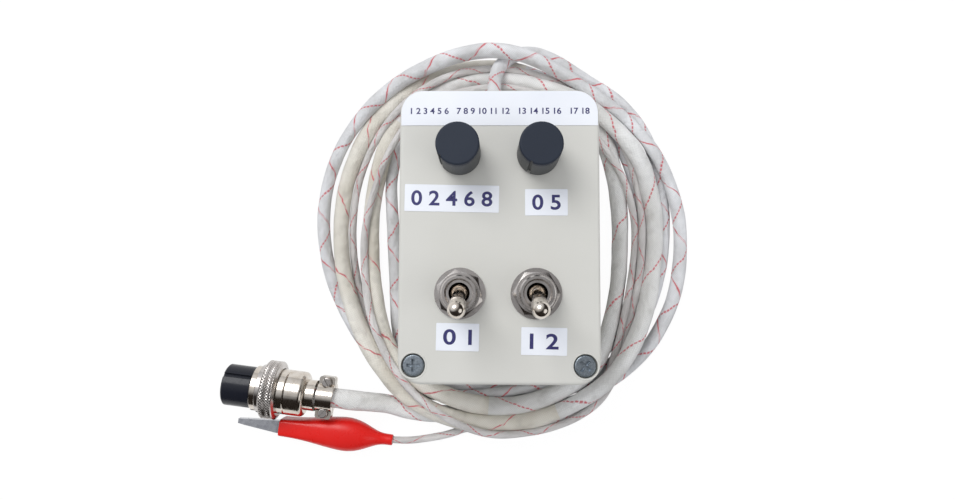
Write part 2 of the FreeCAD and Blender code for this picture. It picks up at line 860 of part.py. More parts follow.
cable_route_tail = [
    plug_point(saddle_start - 1.0),
    plug_point(saddle_end + 5.0),
    (-50.8, -61.7, 8.2),
    (-42.6, -62.3, 5.2),
    (-34.0, -62.6, 3.9),
]
lead_route = [
    clip_point(boot_sections[-1][0] - boot_neck_length),
    clip_point(boot_sections[-1][0] + 4.0),
    (-30.9, -76.6, 3.4),
    (-23.7, -74.7, 1.9),
    (-16.2, -71.6, 1.5),
]


def cable_exit():
    """Cable from its cut end inside the case to where it joins the coil."""
    return route_tube(cable_route_exit, cable_radius, "cable exit")


def cable_tail():
    """Cable from the coil to the connector."""
    return route_tube(cable_route_tail, cable_radius, "cable tail")


def clip_lead():
    """Lead from the clip's boot to the coil."""
    return route_tube(lead_route, lead_radius, "clip lead")


def inner_wires():
    """Wires from the cable's inner end to the lugs and tags."""
    inner_end = case_length / 2 - cable_inside
    targets = []
    lugs = pot_lug_places()
    tags = toggle_tag_places()
    for control in (0, 1):
        for step in range(wires_per_control):
            targets.append(("lug", lugs[3 * control + 2 * step]))
            targets.append(("tag", tags[3 * control + step]))
    wires = []
    for index, (kind, (x, y, z)) in enumerate(targets):
        angle = 2 * math.pi * index / len(targets)
        spread = cable_radius * 0.7
        start = (cable_exit_x + spread * math.cos(angle), inner_end,
                 cable_exit_z + spread * math.sin(angle))
        straight = (start[0], inner_end - 5, start[2])
        clear = (start[0] + (x - start[0]) * 0.3, inner_end - 14 - index % 3, start[2] - 4)
        if kind == "lug":
            low = z - lug_thickness / 2
            bend = (x, y + lug_length / 4, low - 8)
            end = (x, y + lug_length / 4, low)
        else:
            bend = (x, y, z - 7)
            end = (x, y, z)
        wires.append(route_tube([start, straight, clear, bend, end], wire_radius, "wire %d" % index))
    return wires


# Round connector, made along +X from its front face with its axis at the origin

def along_x(shape):
    """Turn a shape made along +Z so that it runs along +X."""
    placed = shape.copy()
    placed.rotate(vec(0, 0, 0), Y_AXIS, 90)
    return placed


def place_plug(shape):
    """Lay a connector piece where it rests on the table."""
    placed = shape.copy()
    placed.rotate(vec(0, 0, 0), Z_AXIS, plug_turn_deg)
    placed.translate(vec(*plug_point(0)))
    return placed


def contact_places():
    """Centres of the contacts on the insert's face."""
    places = []
    for index in range(contact_count):
        angle = math.radians(45) + 2 * math.pi * index / contact_count
        places.append((contact_circle_radius * math.cos(angle),
                       contact_circle_radius * math.sin(angle)))
    return places


def plug_insert():
    """Insulating insert with its keyway and contact holes."""
    body = cylinder(insert_radius, 0, insert_barrel)
    body = body.makeChamfer(insert_chamfer, edges_at_height(body, 0))
    body = body.fuse(cylinder(insert_tail_radius, insert_barrel / 2, insert_length))
    body = body.removeSplitter()
    keyway = block(-insert_radius - 1, keyway_depth - insert_radius, -keyway_width / 2,
                   keyway_width / 2, -1, insert_barrel)
    keyway.rotate(vec(0, 0, 0), Z_AXIS, keyway_turn_deg)
    body = body.cut(keyway)
    for x, y in contact_places():
        body = body.cut(cylinder(contact_radius + press_clearance, -1,
                                 contact_sunk + contact_length, x, y))
    return place_plug(along_x(body))


def plug_contacts():
    """Socket contacts sunk in the insert."""
    contacts = []
    for x, y in contact_places():
        low = contact_sunk
        high = contact_sunk + contact_length
        contact = cylinder(contact_radius, low, high, x, y)
        contact = contact.cut(cylinder(contact_bore, low - 1, high - contact_radius, x, y))
        contacts.append(place_plug(along_x(contact)))
    return contacts


def plug_front_shell():
    """Front shell that holds the insert and carries the coupling ring."""
    body = cylinder(shell_radius, shell_start, shell_joint)
    rims = edges_at_height(body, shell_start) + edges_at_height(body, shell_joint)
    body = body.makeChamfer(shell_joint_chamfer, rims)
    body = body.cut(cylinder(insert_tail_radius + press_clearance, 0, insert_length))
    return place_plug(along_x(body.cut(cylinder(shell_bore, 0, shell_joint + 1))))


def plug_back_shell():
    """Back shell with a rounded shoulder, a neck and the fixed half of the cable saddle."""
    body = cylinder(shell_radius, shell_joint, shell_shoulder)
    body = body.makeChamfer(shell_joint_chamfer, edges_at_height(body, shell_joint))
    body = body.makeFillet(shell_shoulder_radius, edges_at_height(body, shell_shoulder))
    body = body.fuse(cylinder(neck_radius, shell_shoulder - 1, saddle_start))
    body = body.cut(cylinder(shell_bore, shell_joint - 1, shell_shoulder - 2))
    saddle = cylinder(neck_radius, saddle_start - 1, saddle_end)
    ears = block(-clamp_split_gap / 2 - saddle_ear_thickness, -clamp_split_gap / 2,
                 -clamp_ear_reach, clamp_ear_reach, saddle_start + clamp_inset, saddle_end)
    ears = ears.makeFillet(saddle_ear_thickness / 2, [
        edge for edge in ears.Edges
        if abs(edge.BoundBox.YLength) < 1e-6 and abs(edge.BoundBox.XLength) > 1
    ])
    saddle = saddle.fuse(ears.common(block(-50, 0, -50, 50, 0, 100)))
    upper = block(-clamp_split_gap / 2, 50, -50, 50, saddle_start, saddle_end + 1)
    flipped = saddle.cut(upper)
    body = body.fuse(flipped)
    body = body.cut(cylinder(cable_radius + press_clearance, shell_joint, saddle_end + 1))
    for side in (-1, 1):
        hole = cylinder(clamp_screw_radius + press_clearance, -50, 50)
        hole.rotate(vec(0, 0, 0), Y_AXIS, 90)
        hole.translate(vec(0, side * clamp_screw_offset, clamp_middle))
        body = body.cut(hole)
    return place_plug(lay_down(body.removeSplitter()))


clamp_middle = (saddle_start + clamp_inset + saddle_end) / 2


def lay_down(shape):
    """Turn a saddle piece, made with its opening towards +X, so that it opens upwards."""
    placed = shape.copy()
    placed.rotate(vec(0, 0, 0), Y_AXIS, 90)
    placed.rotate(vec(0, 0, 0), X_AXIS, 180)
    return placed


def cable_clamp():
    """Loose half of the saddle, screwed down on the cable."""
    low = saddle_start + clamp_inset
    body = cylinder(clamp_radius, low, saddle_end)
    ears = block(clamp_split_gap / 2, clamp_split_gap / 2 + clamp_ear_thickness,
                 -clamp_ear_reach, clamp_ear_reach, low, saddle_end)
    ears = ears.makeFillet(saddle_ear_thickness / 2, [
        edge for edge in ears.Edges
        if abs(edge.BoundBox.YLength) < 1e-6 and abs(edge.BoundBox.XLength) > 1
    ])
    body = body.fuse(ears).cut(block(-50, clamp_split_gap / 2, -50, 50, low - 1, saddle_end + 1))
    body = body.cut(cylinder(cable_radius + press_clearance, low - 1, saddle_end + 1))
    for side in (-1, 1):
        hole = cylinder(clamp_screw_radius + press_clearance, -50, 50)
        hole.rotate(vec(0, 0, 0), Y_AXIS, 90)
        hole.translate(vec(0, side * clamp_screw_offset, clamp_middle))
        body = body.cut(hole)
        seat = cylinder(clamp_screw_head_radius + press_clearance, 0, 50)
        seat.rotate(vec(0, 0, 0), Y_AXIS, 90)
        seat.translate(vec(clamp_split_gap / 2 + clamp_ear_thickness,
                           side * clamp_screw_offset, clamp_middle))
        body = body.cut(seat)
    return place_plug(lay_down(body.removeSplitter()))


def clamp_screws():
    """Two slotted screws through the saddle's ears."""
    seat = clamp_split_gap / 2 + clamp_ear_thickness
    low = -clamp_split_gap / 2 - saddle_ear_thickness
    screws = []
    for side in (-1, 1):
        head = cylinder(clamp_screw_head_radius, seat, seat + clamp_screw_head_height)
        head = head.makeFillet(clamp_screw_head_height / 3,
                               edges_at_height(head, seat + clamp_screw_head_height))
        screw = head.fuse(cylinder(clamp_screw_radius, low, seat + clamp_screw_head_height / 2))
        half = clamp_slot_width / 2
        top = seat + clamp_screw_head_height
        screw = screw.cut(block(-half, half, -5, 5, top - clamp_slot_depth, top + 1))
        screw.rotate(vec(0, 0, 0), Z_AXIS, 35 * side)
        screw.translate(vec(clamp_middle, side * clamp_screw_offset, 0))
        screws.append(place_plug(screw))
    return screws


def coupling_ring():
    """Screw-locking ring with a gripping band and a bevelled back."""
    bore = shell_radius + running_clearance
    band_end = ring_start + ring_band
    end = ring_start + ring_length
    body = turned([
        (bore, ring_start), (ring_radius - ring_edge, ring_start),
        (ring_radius, ring_start + ring_edge), (ring_radius, band_end - ring_edge),
        (ring_radius - ring_edge, band_end), (ring_back_radius, end), (bore, end),
    ])
    for index in range(ring_groove_count):
        groove = cylinder(ring_groove_depth, ring_start - 1, band_end, ring_radius, 0)
        groove.rotate(vec(0, 0, 0), Z_AXIS, 360 * index / ring_groove_count)
        body = body.cut(groove)
    return place_plug(along_x(body))


# Sprung clip, made along +X from its tip with its parting plane at the origin's height

def place_clip(shape):
    """Lay a clip piece where it rests on the table."""
    placed = shape.copy()
    placed.rotate(vec(0, 0, 0), Z_AXIS, clip_turn_deg)
    placed.translate(vec(*clip_point(0)))
    return placed


def plan_wedge(half_width, tip_half):
    """Plan outline of a jaw: a tapered nose and parallel sides."""
    outline = [
        vec(0, -tip_half, -20), vec(clip_nose_length, -half_width, -20),
        vec(clip_end + 1, -half_width, -20), vec(clip_end + 1, half_width, -20),
        vec(clip_nose_length, half_width, -20), vec(0, tip_half, -20),
    ]
    return prism(outline, vec(0, 0, 40))


def jaw(half_width):
    """Folded sheet jaw above the parting plane, with teeth, pivot ears and a handle."""
    sheet = clip_sheet
    back = clip_pivot + clip_ear_half * 2
    wide = vec(0, 40, 0)
    outer_points = [
        (0, 0.1), (0, 1.1), (3, 1.9), (clip_nose_length, clip_body_half), (back, clip_body_half),
        (clip_end, clip_handle_half), (clip_end, clip_handle_half - clip_flange),
        (back, clip_body_half - clip_flange), (clip_pivot + clip_ear_half, -clip_ear_reach / 2),
        (clip_pivot + clip_ear_half / 2, -clip_ear_reach),
        (clip_pivot - clip_ear_half / 2, -clip_ear_reach),
        (clip_pivot - clip_ear_half, -clip_ear_reach / 2), (clip_nose_length, 0.1),
    ]
    inner_points = [
        (1.4, -20), (1.4, 0.6), (3.4, 1.9 - sheet), (clip_nose_length, clip_body_half - sheet),
        (back, clip_body_half - sheet), (clip_end + 2, clip_handle_half - sheet + 0.13),
        (clip_end + 2, -20),
    ]
    outer = prism([vec(a, -20, z) for a, z in outer_points], wide)
    outer = outer.common(plan_wedge(half_width, clip_tip_half))
    inner = prism([vec(a, -20, z) for a, z in inner_points], wide)
    inner = inner.common(plan_wedge(half_width - sheet, clip_tip_half - sheet * 0.6))
    body = outer.cut(inner)
    pitch = (clip_nose_length - 5) / clip_tooth_count
    for index in range(clip_tooth_count):
        start = 2.6 + index * pitch
        notch = [vec(start, -20, -1), vec(start + pitch * 0.5, -20, clip_tooth),
                 vec(start + pitch, -20, -1)]
        body = body.cut(prism(notch, wide))
    pin_hole = along_y(cylinder(clip_pin_radius + running_clearance, 0, 40), clip_pivot, -20, 0)
    return body.cut(pin_hole)


def clip_upper_jaw():
    """Wide outer jaw that opens upwards."""
    return place_clip(jaw(clip_upper_half))


def clip_lower_jaw():
    """Narrow jaw nested between the ears of the upper one."""
    lower = jaw(clip_upper_half - clip_sheet - clip_nest_gap)
    lower.rotate(vec(0, 0, 0), X_AXIS, 180)
    return place_clip(lower)


def clip_pin():
    """Riveted pivot pin."""
    half = clip_upper_half + clip_nest_gap / 2
    shank = cylinder(clip_pin_radius, -half, half)
    for side in (-1, 1):
        face = side * half
        head = cylinder(clip_pin_head_radius, min(face, face + side * clip_pin_head),
                        max(face, face + side * clip_pin_head))
        shank = shank.fuse(head)
    return place_clip(along_y(shank.removeSplitter(), clip_pivot, 0, 0))


def clip_spring():
    """Torsion spring wound on the pin, with a short leg towards each handle."""
    inner = clip_pin_radius + running_clearance
    coil = tube(inner + spring_wire, inner, -spring_width / 2, spring_width / 2)
    coil = along_y(coil, clip_pivot, 0, 0)
    for side in (-1, 1):
        leg = Part.makeCylinder(spring_wire / 2, spring_leg_reach,
                                vec(clip_pivot, side * spring_width / 3, side * spring_leg_rise),
                                X_AXIS)
        leg = leg.cut(along_y(cylinder(inner, -5, 5), clip_pivot, 0, 0))
        coil = coil.fuse(leg)
    return place_clip(coil.removeSplitter())


def section_wire(distance, half_width, half_height, radius):
    """Rounded section across the clip."""
    wire = rounded_wire(half_height, half_width, radius)
    wire.rotate(vec(0, 0, 0), Y_AXIS, 90)
    wire.translate(vec(distance, 0, 0))
    return wire


def clip_boot():
    """Soft sleeve over the handles, open at its mouth and snug on the lead at its neck."""
    outer = Part.makeLoft([section_wire(*section) for section in boot_sections], True, False)
    hollow_sections = []
    for distance, half_width, half_height, radius in boot_sections[:6]:
        hollow_sections.append(section_wire(distance, half_width - boot_wall,
                                            half_height - boot_wall, radius - boot_wall))
    hollow = Part.makeLoft(hollow_sections, True, False)
    body = outer.cut(hollow)
    neck = Part.makeCylinder(lead_radius + press_clearance, 30,
                             vec(boot_sections[5][0] - 1, 0, 0), X_AXIS)
    return place_clip(body.cut(neck))


# Every piece by name

def as_shapes(result):
    return result if isinstance(result, list) else [result]


def build_all():
    """Each piece's name and its solid or group of solids."""
    pieces = {
        "base_shell": base_shell(),
        "lid": lid(),
        "lid_screws": lid_screws(),
        "title_strip": title_strip(),
        "control_strips": control_strips(),
        "rotary_washers": pot_washers(),
        "rotary_nuts": pot_nuts(),
        "rotary_lugs": pot_lugs(),
        "toggle_washers": toggle_washers(),
        "toggle_nuts": toggle_nuts(),
        "toggle_back_nuts": toggle_back_nuts(),
        "toggle_tags": toggle_tags(),
        "cable_grommet": cable_grommet(),
        "cable_tie": cable_tie(),
        "cable_exit": cable_exit(),
        "cable_coil": cable_coil(),
        "cable_tail": cable_tail(),
        "inner_wires": inner_wires(),
        "plug_insert": plug_insert(),
        "plug_contacts": plug_contacts(),
        "plug_front_shell": plug_front_shell(),
        "plug_back_shell": plug_back_shell(),
        "coupling_ring": coupling_ring(),
        "cable_clamp": cable_clamp(),
        "clamp_screws": clamp_screws(),
        "clip_upper_jaw": clip_upper_jaw(),
        "clip_lower_jaw": clip_lower_jaw(),
        "clip_pin": clip_pin(),
        "clip_spring": clip_spring(),
        "clip_boot": clip_boot(),
        "clip_lead": clip_lead(),
    }
    rotary = (("throttle", rotary_left_x, pointer_left_deg), ("brake", rotary_right_x,
                                                              pointer_right_deg))
    for name, x, pointer in rotary:
        pieces[name + "_control_bushing"] = pot_bushing(x)
        pieces[name + "_control_body"] = pot_body(x)
        pieces[name + "_control_shaft"] = pot_shaft(x)
        pieces[name + "_knob"] = knob(x, pointer)
        pieces[name + "_knob_cap"] = knob_cap(x, pointer)
    for name, x in (("power", toggle_left_x), ("reverse", toggle_right_x)):
        pieces[name + "_switch_bushing"] = toggle_bushing(x)
        pieces[name + "_switch_frame"] = toggle_frame(x)
        pieces[name + "_switch_housing"] = toggle_housing(x)
        pieces[name + "_switch_lever"] = toggle_lever(x)
    return pieces


os.makedirs("parts", exist_ok=True)
for piece_name, result in build_all().items():
    solids = []
    for shape in as_shapes(result):
        solids.extend(shape.Solids)
    for solid in solids:
        if not solid.isValid():
            print("NOT VALID", piece_name)
    output = solids[0] if len(solids) == 1 else Part.makeCompound(solids)
    output.exportStep("parts/%s.step" % piece_name)
    box = output.BoundBox
    print(piece_name, len(solids), round(output.Volume, 1), "z", round(box.ZMin, 2), round(box.ZMax, 2))
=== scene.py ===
# %% [markdown]
# # Engine control box with its coiled cable
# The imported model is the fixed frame: it gives every rigid part in its real place, in metres,
# with +Z up. This lesson dresses it: finishes for the parts whose shape is right, and new meshes
# for the cable, the thin lead, the knurled ring, the clip's boot, the lips of the screw holes
# and the printed numbers.

# %% Load the frame
import json
import math
import random

import bmesh
import bpy
from mathutils import Matrix, Vector


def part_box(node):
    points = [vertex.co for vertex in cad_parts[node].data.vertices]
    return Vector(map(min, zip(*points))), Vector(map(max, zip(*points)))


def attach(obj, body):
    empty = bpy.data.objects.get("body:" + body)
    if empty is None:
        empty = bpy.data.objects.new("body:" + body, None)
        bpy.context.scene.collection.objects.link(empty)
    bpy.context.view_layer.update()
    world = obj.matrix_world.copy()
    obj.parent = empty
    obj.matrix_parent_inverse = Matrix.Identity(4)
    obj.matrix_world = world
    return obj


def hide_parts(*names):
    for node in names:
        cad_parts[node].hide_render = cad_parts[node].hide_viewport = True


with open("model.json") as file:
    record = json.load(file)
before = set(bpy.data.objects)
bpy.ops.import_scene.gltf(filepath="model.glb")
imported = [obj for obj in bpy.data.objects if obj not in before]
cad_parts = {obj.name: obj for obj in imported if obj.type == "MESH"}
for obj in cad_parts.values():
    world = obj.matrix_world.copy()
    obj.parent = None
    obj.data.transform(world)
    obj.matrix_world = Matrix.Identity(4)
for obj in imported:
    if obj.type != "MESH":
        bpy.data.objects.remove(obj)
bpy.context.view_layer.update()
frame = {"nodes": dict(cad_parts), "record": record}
nodes = frame["nodes"]
MM = 0.001
print("parts in the frame:", len(nodes))

# %% [markdown]
# ## Camera
# The photograph looks almost straight down from about 285 mm above the table, so the upper faces
# are shown and every wall leans a little outwards. The place and the axes below came from the
# corners of the case. A lens is given as focal length over sensor width, so no shift is needed.

# %% Place the camera
IMAGE_WIDTH_PX = 955
FOCAL_PX = 700.0
SENSOR_MM = 36.0
camera_place = Vector((-2.9213, -21.8499, 285.2297)) * MM
camera_right = Vector((0.9998233, 0.00359026, -0.01845208))
camera_up = Vector((-0.00226351, 0.99744326, 0.07142704))
camera_back = Vector((0.01866135, -0.07137265, 0.99727514))
lens = bpy.data.cameras.new("camera")
lens.sensor_width = SENSOR_MM
lens.lens = FOCAL_PX / IMAGE_WIDTH_PX * SENSOR_MM
lens.clip_start = 0.01
camera = bpy.data.objects.new("camera", lens)
turn = Matrix((camera_right, camera_up, camera_back)).transposed().to_4x4()
camera.matrix_world = Matrix.Translation(camera_place) @ turn
bpy.context.scene.collection.objects.link(camera)
bpy.context.scene.camera = camera
print("lens in mm:", round(lens.lens, 2))

# %% [markdown]
# ## Colours, nodes and pieces
# Finishes are written as sRGB hex values, the way a colour picker shows them, and turned into
# the linear values that the renderer works with. One small function adds a node, sets its values
# and joins its inputs, so a material reads from top to bottom, and its Principled shader comes
# last with all that was made for it. Inputs go by name, or by number where a node has several of
# one name: a colour Mix takes its factor at 0 and its colours at 6 and 7, and gives output 2.

# %% Helpers
def colour(code):
    """linear RGBA of an sRGB hex value"""
    parts = [int(code[i:i + 2], 16) / 255 for i in (1, 3, 5)]
    return [p / 12.92 if p <= 0.04045 else ((p + 0.055) / 1.055) ** 2.4 for p in parts] + [1.0]


def add(tree, kind, settings=None, inputs=None):
    """adds one node: settings are its own properties, inputs are values or sockets"""
    node = tree.nodes.new("ShaderNode" + kind)
    for name, value in (settings or {}).items():
        setattr(node, name, value)
    for name, value in (inputs or {}).items():
        if isinstance(value, bpy.types.NodeSocket):
            tree.links.new(value, node.inputs[name])
        else:
            node.inputs[name].default_value = value
    return node


def empty_material(name):
    """a new material and its node tree, with nothing in it yet"""
    made = bpy.data.materials.new(name)
    made.use_nodes = True
    made.node_tree.nodes.clear()
    return made, made.node_tree


def piece(name, shape, materials):
    """an object at the origin from a bmesh, which it frees"""
    mesh = bpy.data.meshes.new(name)
    shape.to_mesh(mesh)
    shape.free()
    for material in materials:
        mesh.materials.append(material)
    made = bpy.data.objects.new(name, mesh)
    bpy.context.scene.collection.objects.link(made)
    return made


print("mid grey in linear values:", [round(v, 3) for v in colour("#808080")])

# %% [markdown]
# ## The room
# The photograph is cut out on pure white, so a ray straight from the camera sees white, through
# Light Path. Plated metal shows what stands round it, so reflections see a room: bright towards
# the window and the ceiling, dark and brownish away from it. That is what draws the black bands
# on nickel plate. The soft light that falls on everything is an even, faintly blue white.

# %% Surround the scene
AMBIENT = 0.64
ROOM_STRENGTH = 0.95
WINDOW_SIDE = Vector((-0.5, 0.62, 0.6))
DARK_BELOW, BRIGHT_ABOVE = 0.4, 0.85

world = bpy.data.worlds.new("studio")
bpy.context.scene.world = world
world.use_nodes = True
sky = world.node_tree
sky.nodes.clear()
rays = add(sky, "LightPath")
straight = add(sky, "Math", {"operation": "MAXIMUM"}, {
    0: rays.outputs["Is Camera Ray"], 1: rays.outputs["Is Transmission Ray"]})
outwards = add(sky, "TexCoord")
towards = add(sky, "VectorMath", {"operation": "DOT_PRODUCT"}, {
    0: outwards.outputs["Generated"], 1: WINDOW_SIDE})
brightness = add(sky, "MapRange", None, {
    "Value": towards.outputs["Value"], "From Min": DARK_BELOW, "From Max": BRIGHT_ABOVE})
room_colour = add(sky, "Mix", {"data_type": "RGBA"}, {
    0: brightness.outputs["Result"], 6: colour("#2a2420"), 7: colour("#fbfcff")})
room = add(sky, "Background", None, {"Color": room_colour.outputs[2], "Strength": ROOM_STRENGTH})
soft = add(sky, "Background", None, {"Color": colour("#f4f6fa"), "Strength": AMBIENT})
white = add(sky, "Background", None, {"Color": colour("#ffffff"), "Strength": 1.0})
lit = add(sky, "MixShader", None, {
    0: rays.outputs["Is Glossy Ray"], 1: soft.outputs[0], 2: room.outputs[0]})
shown = add(sky, "MixShader", None, {
    0: straight.outputs[0], 1: lit.outputs[0], 2: white.outputs[0]})
add(sky, "OutputWorld", None, {"Surface": shown.outputs[0]})
print("nodes of the room:", len(sky.nodes))

# %% [markdown]
# ## The table
# The table is white to the camera and in reflections, and still takes a faint shadow, because a
# fifth of it is a plain diffuse surface.

# %% Lay the table
TABLE_M = 3.0
SHADOW_SHARE = 0.2
TABLE_GLOW = 1.2

white_table, tree = empty_material("white_table")
rays = add(tree, "LightPath")
shown = add(tree, "Math", {"operation": "MAXIMUM"}, {
    0: rays.outputs["Is Camera Ray"], 1: rays.outputs["Is Glossy Ray"]})
shown = add(tree, "Math", {"operation": "MAXIMUM"}, {
    0: shown.outputs[0], 1: rays.outputs["Is Transmission Ray"]})
glow_share = add(tree, "Math", {"operation": "MULTIPLY"}, {
    0: shown.outputs[0], 1: 1 - SHADOW_SHARE})
paper = add(tree, "BsdfDiffuse", None, {"Color": colour("#989898")})
glow = add(tree, "Emission", None, {"Color": colour("#ffffff"), "Strength": TABLE_GLOW})
mixed = add(tree, "MixShader", None, {
    0: glow_share.outputs[0], 1: paper.outputs[0], 2: glow.outputs[0]})
add(tree, "OutputMaterial", None, {"Surface": mixed.outputs[0]})

shape = bmesh.new()
bmesh.ops.create_grid(shape, x_segments=1, y_segments=1, size=TABLE_M)
table = piece("table", shape, [white_table])
print("table in metres:", round(table.dimensions.x, 1))

# %% [markdown]
# ## The lamps
# A broad lamp from the upper left gives the soft shadows beside the knobs. A weak one from the
# right opens the shaded sides. Both are disks turned to the same point above the table.

# %% Hang the lamps
AIM_MM = (0, 0, 20)


def lamp(name, place_mm, size_mm, watts):
    light = bpy.data.lights.new(name, "AREA")
    light.shape = "DISK"
    light.size = size_mm * MM
    light.energy = watts
    holder = bpy.data.objects.new(name, light)
    holder.location = Vector(place_mm) * MM
    aim = Vector(AIM_MM) * MM - holder.location
    holder.rotation_euler = aim.to_track_quat("-Z", "Y").to_euler()
    bpy.context.scene.collection.objects.link(holder)


lamp("window", (-360, 470, 730), 560, 4.2)
lamp("fill", (650, -250, 600), 700, 1.3)
bpy.context.scene.view_settings.view_transform = "Standard"

# %% [markdown]
# ## The main cable's route
# The cable leaves the case at its upper end, is wound about four and a half times round the
# standing box and ends in the connector. Each station is an angle round the coil's middle, a
# distance from it and a height above the table. The angle counts on clockwise, so one number
# says both the place and the turn. The stations are the control points of one NURBS curve.

# %% Stations of the main cable
COIL_MIDDLE = (1.7, 5.0)
exit_points = [(-1.5, 39.0, 20.0), (-1.5, 56.5, 19.8), (-1.5, 65.5, 14.6), (1.0, 73.5, 8.6),
               (8.5, 78.6, 6.8)]
turn_1 = [
    (76.1, 75.5, 4.5), (60.1, 71.6, 3), (46.1, 73.1, 2.7), (31.1, 70.8, 2.6), (16, 67.3, 2.5),
    (1.9, 65.4, 2.5), (-12.1, 65.4, 2.5), (-30.1, 66.7, 2.5), (-46.2, 68.4, 2.5),
    (-60.3, 69, 2.5), (-75.5, 66.6, 2.5), (-90.6, 62.1, 2.4), (-105.8, 63.2, 2.4),
    (-120.6, 67.6, 2.4), (-135.2, 59.4, 2.4), (-151.6, 48.5, 2.4), (-171.2, 44.3, 2.4),
    (-189.4, 45.2, 2.4), (-205.8, 50.6, 2.4), (-221.9, 56.2, 2.4), (-239.3, 58.7, 2.9),
]
turn_2 = [
    (-263.7, 57.2, 3.4), (-283.7, 56.3, 4.1), (-302.1, 58.5, 4.8), (-317.8, 56.4, 4.8),
    (-333.4, 51.1, 4.3), (-350.8, 48, 4.2), (-368.9, 47.9, 4.2), (-385.9, 51.2, 4.2),
    (-400.8, 56.5, 6), (-413.5, 63.2, 9.5), (-425.3, 65.8, 10.2), (-440.3, 67.9, 10.2),
    (-455.4, 68.7, 10.7), (-470.3, 67.7, 10.6), (-485.3, 67, 9.9), (-497.4, 62.8, 9.3),
    (-510.6, 57.4, 7.2), (-527.6, 53.8, 4.1), (-545.3, 53.5, 3.8), (-562.7, 55.4, 3.9),
    (-579.1, 60.4, 4.1), (-596.1, 64.5, 4.2), (-617.3, 64, 4.5),
]
turn_3 = [
    (-635.8, 62.2, 6.8), (-655.1, 61.1, 11.2), (-672.2, 61.1, 11.6), (-690.2, 62.4, 10.1),
    (-706, 61.6, 6.8), (-721.8, 60.9, 6), (-737.7, 61.9, 6.8), (-751.8, 64.9, 10.1),
    (-765.9, 69, 12.4), (-780, 72, 12.1), (-795.2, 73.8, 10.5), (-810.2, 75, 10.1),
    (-825.3, 75.9, 9.9), (-840.3, 74.9, 8.9), (-855.2, 70.7, 8.7), (-870.1, 67.5, 7.5),
    (-888.1, 65.9, 4.4), (-905, 65.9, 3.7), (-922.2, 67.5, 3.5), (-940.5, 69.9, 3.3),
    (-958.9, 70.5, 3.2), (-977.2, 70.3, 3.2),
]
turn_4 = [
    (-995.2, 68.6, 2.9), (-1013, 65.3, 2.7), (-1030.4, 62, 2.2), (-1046.7, 59.8, 2.2),
    (-1063.2, 57.5, 2.2), (-1081, 55.9, 2.2), (-1097, 56.2, 2.3), (-1111.2, 59.1, 2.4),
    (-1125.4, 62.3, 2.7), (-1139.5, 64.3, 3), (-1151.7, 63, 5.4), (-1164.8, 62.3, 7.9),
    (-1177.9, 64.8, 6.4), (-1190, 69.7, 3.2), (-1202, 71.7, 2.9), (-1216.1, 71.4, 2.8),
    (-1232.2, 70.8, 2.8), (-1248.3, 71.9, 3.2), (-1266.4, 73.8, 3.6), (-1284.5, 75, 4.2),
    (-1302.4, 75.5, 4.9), (-1320.1, 74.9, 7.1),
]
turn_5 = [
    (-1337.9, 73.3, 12.9), (-1351.8, 71.9, 15.4), (-1365.8, 68.9, 12.2), (-1380.8, 66.4, 10.1),
    (-1396.9, 67.4, 9.4), (-1411.8, 69, 8.9), (-1426.8, 70.9, 5.8), (-1443.7, 72.4, 4),
    (-1461.7, 74, 3.6), (-1479.7, 74.9, 3), (-1499.8, 73.7, 2.6), (-1514.9, 73, 2.8),
    (-1530, 73, 3.1), (-1545.1, 75, 3.3),
]
tail_points = [(-33.5, -65.9, 3.3), (-42.0, -63.2, 3.9), (-50.8, -61.7, 8.0),
               (-58.6, -60.6, 11.2), (-71.5, -59.0, 11.25)]


def station(angle, radius, height):
    around = math.radians(angle)
    return (COIL_MIDDLE[0] + radius * math.cos(around),
            COIL_MIDDLE[1] + radius * math.sin(around), height)


wound = [station(*s) for t in (turn_1, turn_2, turn_3, turn_4, turn_5) for s in t]
cable_route = exit_points + wound + tail_points
print("control points of the main cable:", len(cable_route))

# %% [markdown]
# ## The thin lead's route
# A thin lead branches out of the cable, runs two turns with it and ends in the test clip. It is
# drawn in the same way, on top of and between the thicker turns.

